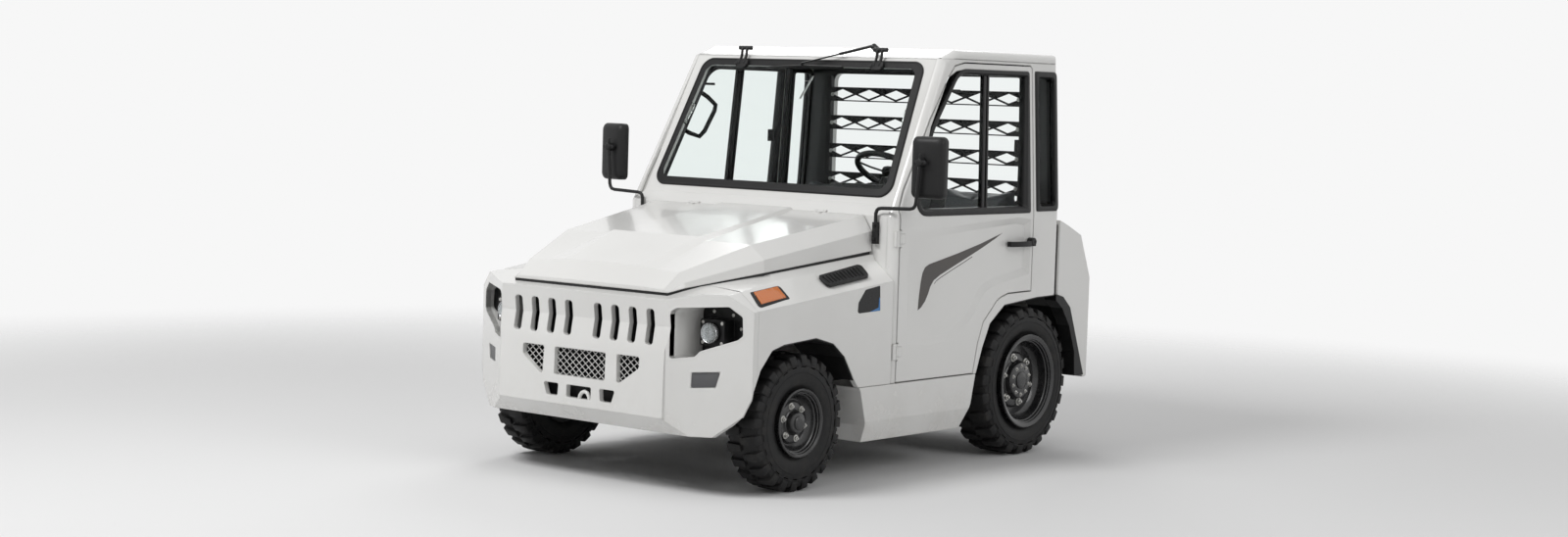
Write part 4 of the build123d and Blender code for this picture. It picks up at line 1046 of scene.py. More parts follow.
# share of the way from the outer to the inner outline, and depth behind the door's skin
FRAME_LEVELS = (
    (0.0, 0.022), (0.0, -0.002), (0.10, -0.004), (0.62, -0.004), (0.80, 0.004), (0.92, 0.006),
    (1.0, 0.014), (1.0, 0.040), (0.15, 0.040),
)
window_frame = Form().loft(frame_rings(DOOR_WINDOW, DOOR_PANE, WINDOW_CENTRE, FRAME_LEVELS), closed=True)
PANE_FOOT, PANE_HEAD = 1.186, roof_top - 0.112
for foot_y, head_y, half in ((fy(1.284), fy(1.316), 0.011), (fy(1.313), fy(1.343), 0.007)):
    post = Form().loft([
        [(side_x(z, depth), y + shift, z) for shift, depth in (
            (-half, 0.010), (half, 0.010), (half, 0.032), (-half, 0.032))]
        for y, z in ((foot_y, PANE_FOOT), (head_y, PANE_HEAD))
    ])
    window_frame.plus(post)
for y, z, long, tall in ((ry(-0.120), 1.470, 0.030, 0.060), (fy(1.06), 1.720, 0.070, 0.012)):
    window_frame.plus(Form().box(
        (side_x(z, 0.034), y, z - tall / 2), (side_x(z, 0.020), y + long, z + tall / 2)))
for side_name, form in (("left", window_frame), ("right", window_frame.flipped())):
    fitted(f"door_window_frame_{side_name}", form, frame_black, f"door_{side_name}", 0.0015)

# Quarter window frames: a thick black rubber section round a narrow fixed pane.
QUARTER_OUT = rounded([
    (ry(0.013), 1.162), (ry(0.199), 1.162), (ry(0.199), roof_top - 0.082), (ry(0.013), roof_top - 0.082),
], (0.014, 0.022, 0.022, 0.014))
QUARTER_IN = rounded([
    (ry(0.042), 1.192), (ry(0.172), 1.192), (ry(0.172), roof_top - 0.114), (ry(0.042), roof_top - 0.114),
], (0.014, 0.022, 0.022, 0.014))
QUARTER_LEVELS = (
    (0.0, 0.003), (0.0, -0.003), (0.12, -0.0055), (0.75, -0.0055), (1.0, 0.004), (1.0, 0.017), (0.6, 0.017),
)
quarter_frame = Form().loft(
    frame_rings(QUARTER_OUT, QUARTER_IN, (ry(0.106), 1.49), QUARTER_LEVELS), closed=True)
quarter_frame.plus(Form().loft(
    frame_rings(QUARTER_OUT, QUARTER_IN, (ry(0.106), 1.49), ((0.35, 0.025), (0.35, 0.043), (1.0, 0.043), (1.0, 0.025))),
    closed=True))
fitted("quarter_frames", quarter_frame.plus(quarter_frame.flipped()), frame_black, "vehicle")

# Windscreen surround: the black band printed round the edge of the glass, drawn as a thin film on
# its outer face, and the narrow rubber lip between the glass and the painted frame.
BORDER = 0.034
film = Form().loft([
    on_screen(screen_outline(0.004, 0.058), GLASS_T + 0.0004), on_screen(screen_outline(0.004, 0.058), GLASS_T + 0.0008),
    on_screen(screen_outline(BORDER, 0.045), GLASS_T + 0.0008), on_screen(screen_outline(BORDER, 0.045), GLASS_T + 0.0004),
], closed=True)
fitted("windscreen_border", film, frame_black, "vehicle")
lip = Form().loft([
    on_screen(screen_outline(-0.005, 0.067), 0.0006), on_screen(screen_outline(-0.005, 0.067), 0.004),
    on_screen(screen_outline(0.0, 0.062), GLASS_T + 0.0025), on_screen(screen_outline(0.005, 0.057), GLASS_T + 0.0025),
    on_screen(screen_outline(0.005, 0.057), GLASS_T + 0.0002), on_screen(screen_outline(0.0003, 0.0617), GLASS_T + 0.0001),
    on_screen(screen_outline(-0.0003, 0.0623), 0.0006),
], closed=True)
rubber_lip = grained("black rubber lip", 0.014, 0.55, 600.0, 0.3)
fitted("windscreen_lip", lip, rubber_lip, "vehicle")


# Windscreen fittings: two black cast hinges bolted above the glass, a silver stay at each side
# and a short one hanging from the head rail, and a bent grab handle on the right pillar.
def copies_tree():
    """Geometry Nodes that repeat a form along a pitch and turn it by a step each time."""
    tree = bpy.data.node_groups.new("copies in step", "GeometryNodeTree")
    kinds = (
        ("Form", "NodeSocketGeometry"), ("Count", "NodeSocketInt"), ("Start", "NodeSocketVector"),
        ("Pitch", "NodeSocketVector"), ("Turn", "NodeSocketVector"), ("Finish", "NodeSocketMaterial"),
    )
    names = {}
    for label, kind in kinds:
        names[label] = tree.interface.new_socket(label, in_out="INPUT", socket_type=kind).identifier
    tree.interface.new_socket("Result", in_out="OUTPUT", socket_type="NodeSocketGeometry")

    def add(kind, inputs, **settings):
        node = tree.nodes.new(kind)
        for label, value in settings.items():
            setattr(node, label, value)
        for label, source in inputs.items():
            tree.links.new(source, node.inputs[label])
        return node

    given = tree.nodes.new("NodeGroupInput").outputs
    number = tree.nodes.new("GeometryNodeInputIndex").outputs[0]
    way = add("ShaderNodeVectorMath", {"Vector": given["Pitch"], "Scale": number}, operation="SCALE")
    angle = add("ShaderNodeVectorMath", {"Vector": given["Turn"], "Scale": number}, operation="SCALE")
    spot = add("ShaderNodeVectorMath", {0: given["Start"], 1: way.outputs[0]}, operation="ADD")
    spots = add("GeometryNodePoints", {"Count": given["Count"], "Position": spot.outputs[0]})
    placed = add("GeometryNodeInstanceOnPoints", {
        "Points": spots.outputs[0], "Instance": given["Form"], "Rotation": angle.outputs[0]})
    real = add("GeometryNodeRealizeInstances", {"Geometry": placed.outputs[0]})
    dressed = add("GeometryNodeSetMaterial", {"Geometry": real.outputs[0], "Material": given["Finish"]})
    end = tree.nodes.new("NodeGroupOutput")
    tree.links.new(dressed.outputs[0], end.inputs[0])
    return tree, names


copies_group, copies_inputs = copies_tree()


def repeated(name, form, finish, count, start=(0, 0, 0), pitch=(0, 0, 0), turn=(0, 0, 0), bevel=0.0, crease=40.0):
    """A mesh of count copies of a form, each a pitch and a turn on from the last."""
    seed = bpy.data.objects.new(name, form.mesh(name, bevel, crease))
    bpy.context.scene.collection.objects.link(seed)
    step = seed.modifiers.new("copies", "NODES")
    step.node_group = copies_group
    values = {"Count": count, "Start": start, "Pitch": pitch, "Turn": turn, "Finish": finish.material}
    for label, value in values.items():
        step[copies_inputs[label]] = value
    seed.update_tag()
    graph = bpy.context.evaluated_depsgraph_get()
    result = bpy.data.meshes.new_from_object(seed.evaluated_get(graph))
    bpy.data.objects.remove(seed)
    return result


def group(name, meshes, finish, body, replaces=()):
    """Meshes joined into one finished piece."""
    work = bmesh.new()
    for part in meshes:
        work.from_mesh(part)
    data = bpy.data.meshes.new(name)
    work.to_mesh(data)
    work.free()
    for polygon in data.polygons:
        polygon.material_index = 0
    return placed_piece(data, finish, body, replaces)


def bolt_head(radius, height, sides=6):
    """A hexagon or round head on its washer, standing on the X axis from the origin."""
    form = Form().lathe([(-0.001, radius * 1.45), (height * 0.25, radius * 1.45)], (0, 0, 0), 20, closed=False)
    head = [(0.0, radius), (height, radius), (height * 1.1, radius * 0.86)]
    return form.plus(Form().lathe(head, (0, 0, 0), sides, closed=False))


TOP_HINGE_X = 0.406
TOP_HINGE_S = screen_length - 0.035
top_hinges = Form()
for side in (-1, 1):
    base = screen_origin + Vector((side * TOP_HINGE_X, 0, 0)) + screen_up * TOP_HINGE_S
    across = Vector((1, 0, 0))
    foot = [base + across * a + screen_up * s for a, s in rounded(
        [(-0.045, -0.026), (0.045, -0.026), (0.030, 0.018), (-0.030, 0.018)], (0.02, 0.02, 0.01, 0.01), 5)]
    top_hinges.slab([p + screen_out * (GLASS_T + 0.001) for p in foot], screen_out * 0.014)
    for shift in (-0.014, 0.014):
        arm = [base + across * shift + screen_up * s + screen_out * h for s, h in (
            (-0.005, 0.018), (0.035, 0.020), (0.062, 0.030), (0.080, 0.030))]
        top_hinges.bar(arm, 0.008, 10, 0.7)
    head = base + screen_up * 0.074 + screen_out * 0.027
    top_hinges.bar([head - across * 0.038, head + across * 0.038], 0.010, 14)
    for shift in (-0.032, 0.032):
        knob = base + across * shift - screen_up * 0.008 + screen_out * (GLASS_T + 0.014)
        top_hinges.lathe([(0, 0.008), (0.006, 0.007)], knob, 12, tuple(screen_out), False)
fitted("windscreen_hinges", top_hinges, black_moulding, "vehicle", 0.001)

steel = Finish("brushed bright steel", (0.62, 0.62, 0.61), 0.32, Metallic=1.0)
steel.set("Roughness", steel.noise(180.0, 3.0) * 0.18 + 0.22)
steel.bump(steel.bands(220.0, "Z"), 0.08, 0.0003)
stays = Form()
for x0, s0, x1, s1 in (
    (SCREEN_HALF_LOW - 0.055, 0.375, SCREEN_HALF_LOW - 0.071, 0.470),
    (0.050 - SCREEN_HALF_LOW, 0.370, 0.064 - SCREEN_HALF_LOW, 0.470),
):
    ends = on_screen([(x0, s0), (x1, s1)], -0.012)
    stays.bar([ends[0], ends[0].lerp(ends[1], 0.5), ends[1]], 0.015, 12, 0.14)
    for end in ends:
        stays.lathe([(-0.004, 0.006), (0.012, 0.006)], end, 12, tuple(screen_out), False)
hanger = on_screen([(0.012, screen_length - 0.075), (-0.017, screen_length - 0.195)], -0.030)
stays.bar([hanger[0], hanger[1]], 0.014, 12, 0.14)
stays.bar([hanger[0].lerp(hanger[1], 0.22) - Vector((0.026, 0, 0)), hanger[0].lerp(hanger[1], 0.22)], 0.010, 10, 0.2)
fitted("windscreen_stays", stays, steel, "vehicle", 0.0006)

grab = [
    (-0.680, fy(0.973), 1.674), (-0.665, fy(1.000), 1.655), (-0.640, fy(1.030), 1.618), (-0.637, fy(1.020), 1.590),
    (-0.650, fy(0.965), 1.490), (-0.660, fy(0.940), 1.463), (-0.680, fy(0.885), 1.480), (-0.694, fy(0.862), 1.496),
]
fitted("grab_handle", Form().bar(grab, 0.011, 14), black_moulding, "vehicle")

# Wiper: a pressed steel arm from a motor spindle above the glass, with a pivoted rubber blade.
wiper_pivot = Vector((0.344, fy(1.018), roof_top - 0.004))
arm_end = on_screen([(-0.02, screen_length - 0.045)], 0.040)[0]
blade_mid = on_screen([(-0.02, screen_length - 0.050)], 0.026)[0]
blade_ends = on_screen([(-0.225, screen_length - 0.060), (0.215, screen_length - 0.052)], 0.024)
wiper = Form().bar([wiper_pivot - screen_out * 0.02, wiper_pivot + screen_out * 0.026], 0.015, 16)
elbow = wiper_pivot + screen_out * 0.026 + Vector((-0.012, 0, 0.0))
wiper.bar([elbow + Vector((0.028, 0.012, -0.01)), elbow, elbow.lerp(arm_end, 0.12), elbow.lerp(arm_end, 0.45)], 0.010, 10, 0.7)
wiper.bar([elbow.lerp(arm_end, 0.42), arm_end], 0.0065, 10, 0.6)
wiper.bar([arm_end, blade_mid], 0.006, 8)
wiper.bar([blade_ends[0], blade_mid, blade_ends[1]], 0.006, 8, 0.8)
strip_ends = [p - screen_out * 0.010 for p in (blade_ends[0], blade_mid, blade_ends[1])]
wiper.bar(strip_ends, 0.003, 6)
fitted("wiper", wiper, frame_black, "vehicle", 0.0008)

# Tyres: industrial pneumatic tyres with a ribbed sidewall and two staggered rows of heavy lugs
# that step down over the shoulder. Black rubber, greyed by dust on the tread.
rubber = Finish("black tyre rubber", (0.02, 0.02, 0.02), 0.7, Specular_IOR_Level=0.2)
scuff = rubber.soft(rubber.noise(18.0, 6.0, 0.65), 0.42, 0.8)
rubber.set("Base Color", rubber.blend(scuff * 0.55, (0.014, 0.014, 0.0145), (0.055, 0.052, 0.048)))
rubber.set("Roughness", 0.50 + scuff * 0.25)
rubber.bump(rubber.noise(260.0, 4.0, 0.7), 0.25, 0.0006, 0.0015)
LUGS = 24
LUG_FILL = 0.57


def ridge(x, r, width, height):
    """Four points of a small rib standing on the sidewall."""
    return [(x, r - width), (x + height, r - width * 0.5), (x + height, r + width * 0.5), (x, r + width)]


def wheel_turn(form, hub, side, name, count, turn, finish, bevel=0.0, crease=40.0):
    """Copies of a form round a hub; side is 1 on the left and -1 on the right."""
    if side < 0:
        form = form.flipped()
    return repeated(name, form, finish, count, tuple(hub), (0, 0, 0), (turn, 0, 0), bevel, crease)


def tyre_meshes(hub, side, half, bead_r, bore_r, tread_r):
    wall = tread_r - bead_r
    outer = [
        (half * 0.74, bore_r), (half * 0.80, bead_r + 0.001), (half * 0.86, bead_r + 0.006), (half * 0.93, bead_r + wall * 0.12),
        (half * 0.975, bead_r + wall * 0.25), (half * 0.992, bead_r + wall * 0.36),
    ]
    outer += ridge(half * 0.994, bead_r + wall * 0.45, 0.0022, 0.0016)
    outer += [(half * 0.985, bead_r + wall * 0.56)]
    outer += ridge(half * 0.965, bead_r + wall * 0.66, 0.0030, 0.0028)
    outer += [
        (half * 0.945, bead_r + wall * 0.74), (half * 0.90, tread_r - 0.027), (half * 0.80, tread_r - 0.019),
        (half * 0.5, tread_r - 0.016), (0.0, tread_r - 0.015),
    ]
    profile = outer + [(-x, r) for x, r in reversed(outer[:-1])]
    body = Form().lathe([(side * x, r) for x, r in profile], hub, 144)
    meshes = [body.mesh("carcass", 0.0, 50.0)]
    pitch = 2 * math.pi / LUGS
    section = (
        # x share of half width, depth below the tread, half width of the lug as a share of the pitch
        (0.03, 0.0, 0.20), (0.42, 0.0, 0.26), (0.78, 0.001, LUG_FILL / 2), (0.90, 0.006, LUG_FILL / 2),
        (0.955, 0.020, LUG_FILL / 2 - 0.01), (0.975, 0.038, LUG_FILL / 2 - 0.03), (0.972, 0.050, LUG_FILL / 2 - 0.05),
    )
    for row in (1, -1):
        rings = []
        for share, depth, span in section:
            slope = (share - 0.5) * 0.10 * row
            top = tread_r - depth
            foot = min(top - 0.010, tread_r - 0.024)
            corners = []
            for reach, radius in ((-span, foot), (-span * 0.94, top), (span * 0.94, top), (span, foot)):
                angle = pitch * (reach + slope)
                lift = radius * math.cos(angle)
                corners.append((row * share * half, radius * math.sin(angle), lift))
            rings.append(corners)
        lug = Form().loft(rings)
        step = Form().loft([
            [(row * share * half, math.sin(pitch * a) * (tread_r - d), math.cos(pitch * a) * (tread_r - d))
             for a, d in ((-0.11, deep), (-0.10, deep - 0.012), (0.10, deep - 0.012), (0.11, deep))]
            for share, deep in ((0.90, 0.034), (0.962, 0.058), (0.968, 0.070))
        ])
        phase = pitch * (0.25 if row > 0 else 0.75)
        spun = Matrix.Rotation(-phase, 4, "X")
        between = Matrix.Rotation(-phase + pitch / 2, 4, "X")
        meshes.append(wheel_turn(lug.moved(spun), hub, side, "lugs", LUGS, pitch, rubber, 0.0016, 50.0))
        meshes.append(wheel_turn(step.moved(between), hub, side, "steps", LUGS, pitch, rubber, 0.001))
    return meshes


# Wheels: pressed steel discs welded in two-step rims, in gloss black, held by zinc-plated nuts.
rim_black = Finish("gloss black wheel paint", (0.012, 0.012, 0.013), 0.3, Coat_Weight=0.4, Coat_Roughness=0.1)
rim_dust = rim_black.soft(rim_black.noise(11.0, 5.0, 0.6), 0.45, 0.85)
rim_black.set("Base Color", rim_black.blend(rim_dust * 0.35, (0.011, 0.011, 0.012), (0.045, 0.043, 0.038)))
rim_black.set("Roughness", 0.24 + rim_dust * 0.3)
rim_black.bump(rim_black.noise(300.0, 2.0), 0.06, 0.0003, 0.0015)
zinc = Finish("zinc plated nuts", (0.50, 0.50, 0.48), 0.35, Metallic=1.0)
zinc.set("Roughness", zinc.noise(90.0, 4.0) * 0.3 + 0.2)
zinc.set("Base Color", zinc.blend(zinc.noise(30.0, 4.0), (0.36, 0.35, 0.33), (0.62, 0.62, 0.60)))


def rim_meshes(hub, side, mid, lip_x, rim_r, lip_r, disc_x, hub_r, bore_r):
    inner = mid - (lip_x - mid) * 0.75
    dish = disc_x + 0.014
    profile = [
        (inner - 0.009, lip_r - 0.002), (inner - 0.006, lip_r), (inner, lip_r), (inner + 0.0005, rim_r), (lip_x - 0.012, rim_r),
        (lip_x - 0.009, lip_r), (lip_x - 0.003, lip_r), (lip_x, lip_r - 0.003), (lip_x, lip_r - 0.008),
        (lip_x - 0.006, rim_r - 0.007), (lip_x - 0.013, rim_r - 0.0085), (lip_x - 0.015, rim_r - 0.013),
        (lip_x - 0.026, rim_r - 0.0145), (lip_x - 0.029, rim_r - 0.019), (disc_x + 0.026, rim_r - 0.021),
        (disc_x + 0.018, rim_r - 0.024), (disc_x + 0.006, rim_r - 0.033), (disc_x, rim_r - 0.040), (disc_x, hub_r + 0.043),
        (disc_x + 0.004, hub_r + 0.039), (dish - 0.002, hub_r + 0.035), (dish, hub_r + 0.031), (dish, hub_r + 0.004),
        (dish + 0.003, hub_r), (disc_x + 0.036, hub_r - 0.003), (disc_x + 0.044, hub_r - 0.009), (disc_x + 0.046, hub_r - 0.014),
        (disc_x + 0.046, bore_r), (disc_x - 0.012, bore_r), (disc_x - 0.012, rim_r - 0.014), (inner - 0.009, rim_r - 0.012),
    ]
    origin = (0.0, hub[1], hub[2])
    return [Form().lathe([(side * x, r) for x, r in profile], origin, 120).mesh("rim", 0.0, 28.0)]


def nut_meshes(hub, side, face_x, count, circle_r, size, phase=0.0):
    stud = Form().lathe([(0, size * 0.5), (size * 1.5, size * 0.5)], (0, 0, 0), 10, closed=False)
    nut = bolt_head(size, size * 0.9).plus(stud)
    placed = nut.moved(Matrix.Rotation(phase, 4, "X") @ Matrix.Translation((face_x, 0, circle_r)))
    origin = (0.0, hub[1], hub[2])
    return wheel_turn(placed, origin, side, "nuts", count, 2 * math.pi / count, zinc, 0.0008)


# half width, bead, bore and tread radii of the tyre; mid plane, lip, rim, disc, hub and bore of the
# rim; then nuts: place, count, circle, size, and the hub's own bolts
AXLES = (
    ("front", front_axle_y, 0.295, 0.691, 0.088, 0.150, 0.1403, 0.787, 0.140, 0.1475, 0.728, 0.052, 0.02505,
     (6, 0.072, 0.0105), (0.7735, 0, 0.0, 0.0)),
    ("rear", rear_axle_y, 0.353, 0.682, 0.106, 0.2255, 0.2083, 0.800, 0.208, 0.223, 0.712, 0.092, 0.03505,
     (6, 0.111, 0.0140), (0.7575, 10, 0.068, 0.0062)),
)
for axle, hub_y, hub_z, mid, half, bead_r, bore_r, lip_x, rim_r, lip_r, disc_x, hub_r, axle_bore, studs, bolts in AXLES:
    for side_name, side in (("left", 1), ("right", -1)):
        wheel_body = f"{axle}_wheel_{side_name}"
        hub = (side * mid, hub_y, hub_z)
        group(f"{axle}_tyre_tread_{side_name}", tyre_meshes(hub, side, half, bead_r, bore_r, hub_z),
              rubber, wheel_body, (f"{axle}_tyre_{side_name}",))
        group(f"{axle}_wheel_disc_{side_name}",
              rim_meshes(hub, side, mid, lip_x, rim_r, lip_r, disc_x, hub_r, axle_bore),
              rim_black, wheel_body, (f"{axle}_rim_{side_name}",))
        count, circle_r, size = studs
        fixings = [nut_meshes(hub, side, disc_x + 0.014, count, circle_r, size, 0.26)]
        bolt_x, bolt_count, bolt_r, bolt_size = bolts
        if bolt_count:
            fixings.append(nut_meshes(hub, side, bolt_x, bolt_count, bolt_r, bolt_size))
        group(f"{axle}_wheel_nuts_{side_name}", fixings, zinc, wheel_body)
        cap_x = disc_x + 0.046
        cap_r = axle_bore + 0.006
        cap = Form().lathe([(side * x, r) for x, r in (
            (cap_x - 0.002, cap_r), (cap_x + 0.004, cap_r), (cap_x + 0.007, cap_r - 0.004),
            (cap_x + 0.008, cap_r * 0.55), (cap_x + 0.008, 0.003))], (0.0, hub_y, hub_z), 48, closed=False)
        fitted(f"{axle}_hub_cap_{side_name}", cap, rim_black, wheel_body)


# Seats: vinyl over foam, blown up from the seat blocks by cloth pressure and piped at the edges.
vinyl = Finish("dark grey vinyl", (0.035, 0.038, 0.045), 0.48)
wrinkle = vinyl.noise(60.0, 5.0, 0.6)
vinyl.set("Base Color", vinyl.blend(wrinkle, (0.022, 0.026, 0.030), (0.042, 0.046, 0.052)))
vinyl.set("Roughness", 0.40 + wrinkle * 0.15)
vinyl.bump(vinyl.cells(700.0) * 0.6 + wrinkle * 0.4, 0.3, 0.0008)
VOXEL = 0.008
SHRINK = 0.955


def swollen(node_name, cap):
    """A cushion's mesh: its block shrunk, remeshed and blown up, moving no further than cap."""
    source = nodes[node_name].data.copy()
    work = bmesh.new()
    work.from_mesh(source)
    bmesh.ops.remove_doubles(work, verts=work.verts, dist=1e-5)
    low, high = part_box(node_name)
    centre = (Vector(low) + Vector(high)) / 2
    for vertex in work.verts:
        vertex.co = centre + (vertex.co - centre) * SHRINK
    work.to_mesh(source)
    work.free()
    pad = bpy.data.objects.new(node_name + "_foam", source)
    bpy.context.scene.collection.objects.link(pad)
    remesh = pad.modifiers.new("even", "REMESH")
    remesh.mode = "VOXEL"
    remesh.voxel_size = VOXEL
    even = bpy.data.meshes.new_from_object(pad.evaluated_get(bpy.context.evaluated_depsgraph_get()))
    pad.modifiers.clear()
    pad.data = even
    cloth = pad.modifiers.new("pressure", "CLOTH")
    cloth.settings.quality = 4
    cloth.settings.use_pressure = True
    cloth.settings.uniform_pressure_force = 4.0
    cloth.settings.effector_weights.gravity = 0.0
    cloth.point_cache.frame_start = 1
    cloth.point_cache.frame_end = 20
    for moment in range(1, 21):
        bpy.context.scene.frame_set(moment)
    blown = bpy.data.meshes.new_from_object(pad.evaluated_get(bpy.context.evaluated_depsgraph_get()))
    pad.modifiers.clear()
    for rest, vertex in zip(even.vertices, blown.vertices):
        moved = vertex.co - rest.co
        if moved.length > cap:
            moved *= cap / moved.length
        spot = rest.co + moved
        vertex.co = Vector(max(l + 0.001, min(h - 0.001, c)) for l, h, c in zip(low, high, spot))
    pad.data = blown
    bpy.context.scene.frame_set(1)
    soft = pad.modifiers.new("smooth", "SUBSURF")
    soft.levels = 1
    soft.render_levels = 1
    final = bpy.data.meshes.new_from_object(pad.evaluated_get(bpy.context.evaluated_depsgraph_get()))
    bpy.data.objects.remove(pad)
    for polygon in final.polygons:
        polygon.use_smooth = True
    return final


def piping(node_name, level, inset):
    """A welt round the plan outline of a cushion at a share of its height."""
    low, high = (Vector(c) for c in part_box(node_name))
    corners = [(low.x + inset, low.y + inset), (high.x - inset, low.y + inset), (high.x - inset, high.y - inset),
               (low.x + inset, high.y - inset)]
    z = low.z + (high.z - low.z) * level
    route = [(x, y, z) for x, y in rounded(corners, (0.045,) * 4, 8)]
    rings = []
    for i, point in enumerate(route):
        along = (Vector(route[(i + 1) % len(route)]) - Vector(route[i - 1])).normalized()
        out = along.cross(Vector((0, 0, 1)))
        rings.append([Vector(point) + out * 0.004 * math.cos(t) + Vector((0, 0, 0.004 * math.sin(t)))
                      for t in [2 * math.pi * k / 8 for k in range(8)]])
    return Form().loft(rings, closed=True).mesh("piping")


for side_name in ("left", "right"):
    for part, cap in (("cushion", 0.024), ("back", 0.022)):
        node_name = f"seat_{part}_{side_name}"
        meshes = [swollen(node_name, cap)]
        if part == "cushion":
            meshes.append(piping(node_name, 0.80, 0.007))
        pad = group(f"{node_name}_cover", meshes, vinyl, "vehicle", (node_name,))
vinyl.assign_nodes("seat_cushion_left", "seat_cushion_right", "seat_back_left", "seat_back_right")
rubber.assign_nodes("front_tyre_left", "front_tyre_right", "rear_tyre_left", "rear_tyre_right")
rim_black.assign_nodes("front_rim_left", "front_rim_right", "rear_rim_left", "rear_rim_right")

# Steering wheel: a foamed grip over a steel ring, on three pressed spokes and a moulded boss.
STEER_HUB = Vector((half_width - 0.370, fy(1.050), 1.335))
STEER_RAKE = math.radians(32.0)
STEER_R = 0.166
GRIP_R = 0.0138
steer_axis = Vector((0, math.sin(STEER_RAKE), math.cos(STEER_RAKE)))
steer_side = Vector((1, 0, 0))
steer_back = steer_axis.cross(steer_side)
grip_profile = [
    (GRIP_R * math.sin(t), STEER_R + GRIP_R * math.cos(t)) for t in [2 * math.pi * k / 20 for k in range(20)]]
steering = Form().lathe(grip_profile, STEER_HUB, 96, tuple(steer_axis))
for spoke in (90, 210, 330):
    way = steer_side * math.cos(math.radians(spoke)) + steer_back * math.sin(math.radians(spoke))
    start, end = STEER_HUB + way * 0.035 - steer_axis * 0.006, STEER_HUB + way * (STEER_R - 0.006)
    steering.bar([start, start.lerp(end, 0.5) - steer_axis * 0.003, end], 0.013, 12, 0.35)
steering.lathe([
    (-0.020, 0.0092), (-0.020, 0.036), (-0.010, 0.045), (0.006, 0.044), (0.0125, 0.036), (0.0135, 0.0092),
], STEER_HUB, 48, tuple(steer_axis))
fitted("steering_wheel_grip", steering, black_moulding, "steering_wheel", 0.0, ("steering_wheel",))

# Instruments: a black binnacle panel with two dials, a row of rocker switches, a drive lever on
# the column, and two pedals in the driver's footwell.
dials = Form()
dial_centre = Vector((STEER_HUB.x, fy(0.926), 1.252))
dial_out = Vector((0, 0.72, 0.69)).normalized()
for shift in (-0.075, 0.075):
    centre = dial_centre + Vector((shift, 0, 0))
    dials.lathe(
        [(0.000, 0.042), (0.010, 0.042), (0.010, 0.038), (0.004, 0.036), (0.004, 0.003)], centre, 40, tuple(dial_out), False)
    dials.bar([centre + dial_out * 0.007, centre + dial_out * 0.007 + Vector((0.024, -0.009, 0.010))], 0.0016, 6)
for shift in (-0.018, 0.0, 0.018):
    dials.box((STEER_HUB.x + shift - 0.007, fy(0.905), 1.276), (STEER_HUB.x + shift + 0.007, fy(0.925), 1.287))
fitted("instruments", dials, frame_black, "vehicle", 0.0008)
lever_root = STEER_HUB - steer_axis * 0.085
lever = Form().bar([lever_root + steer_side * s + steer_back * b for s, b in (
    (0.025, 0.0), (0.090, 0.010), (0.150, 0.035), (0.185, 0.052))], 0.006, 10)
lever.lathe([(-0.016, 0.004), (-0.010, 0.010), (0.010, 0.010), (0.016, 0.004)],
            lever_root + steer_side * 0.19 + steer_back * 0.054, 16, tuple((steer_side + steer_back * 0.4).normalized()), False)
for pedal_x, pedal_w in ((STEER_HUB.x + 0.115, 0.030), (STEER_HUB.x - 0.030, 0.042)):
    tilt = Vector((0, 0.55, 0.84))
    foot = Vector((pedal_x, fy(0.760), 0.560))
    lever.slab([foot + Vector((a * pedal_w, 0, 0)) + tilt * b for a, b in ((-1, 0), (1, 0), (1, 0.09), (-1, 0.09))],
               Vector((0, -0.010, 0.0065)))
    lever.bar([
        foot + tilt * 0.06 + Vector((0, -0.012, 0)), Vector((pedal_x, fy(0.690), 0.640)), Vector((pedal_x, fy(0.6415), 0.760)),
    ], 0.008, 8)
fitted("levers_and_pedals", lever, black_moulding, "vehicle", 0.0015)

# Radiator core: rows of flat tubes in front of the tank, seen through the grille slots.
core_black = grained("dark radiator core", 0.03, 0.4, 500.0, 0.5, None)
core_black.bump(core_black.bands(110.0, "Z"), 0.9, 0.003)
radiator_low, radiator_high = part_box("radiator")
CORE_PITCH = 0.0115
core_count = int((radiator_high.x - radiator_low.x - 0.03) / CORE_PITCH)
core_tube = Form().box((-0.0018, -0.012, 0.02), (0.0018, 0.0, radiator_high.z - radiator_low.z - 0.02))
core_start = (radiator_low.x + 0.02, radiator_low.y - 0.0002, radiator_low.z)
core = repeated("core", core_tube, core_black, core_count, core_start, (CORE_PITCH, 0, 0))
rails = Form()
for z in (radiator_low.z + 0.004, radiator_high.z - 0.026):
    rails.box((radiator_low.x, radiator_low.y - 0.018, z), (radiator_high.x, radiator_low.y - 0.0003, z + 0.022))
group("radiator_core", [core, rails.mesh("rails", 0.002)], core_black, "vehicle")

# Headlamps: a round projector lens behind clear glass in a bright ring, screwed to its plate.
LAMP_X, LAMP_Z, LENS_R = half_width - 0.197, 0.686, 0.038
LENS_FACE_Y = fy(-0.318 - 0.076)
PLATE_Y = fy(-0.318)
reflector = Finish("lamp reflector", (0.50, 0.51, 0.52), 0.18, Metallic=0.9)
reflector.set("Roughness", reflector.cells(160.0) * 0.25 + 0.10)
reflector.bump(reflector.cells(160.0), 0.5, 0.002)
lamp_glass = Finish("clear lamp glass", (0.95, 0.97, 0.97), 0.03, Transmission_Weight=1.0, IOR=1.3)
lamp_glass.bump(lamp_glass.bands(60.0, "X"), 0.12, 0.001)
rings, domes = Form(), Form()
for side in (-1, 1):
    centre = (side * LAMP_X, LENS_FACE_Y, LAMP_Z)
    rings.lathe([
        (-0.0002, 0.0375), (-0.003, 0.0375), (-0.004, 0.036), (-0.0022, 0.020), (-0.003, 0.010), (-0.0045, 0.002),
    ], centre, 56, (0, 1, 0), False)
    rings.lathe(
        [(0.004, 0.0384), (0.004, 0.0425), (-0.008, 0.0425), (-0.011, 0.041), (-0.0095, 0.0384)], centre, 56, (0, 1, 0))
    domes.lathe([
        (-0.005, 0.0382), (-0.008, 0.0382), (-0.0125, 0.034), (-0.0160, 0.024), (-0.018, 0.012), (-0.0185, 0.002),
    ], centre, 56, (0, 1, 0), False)
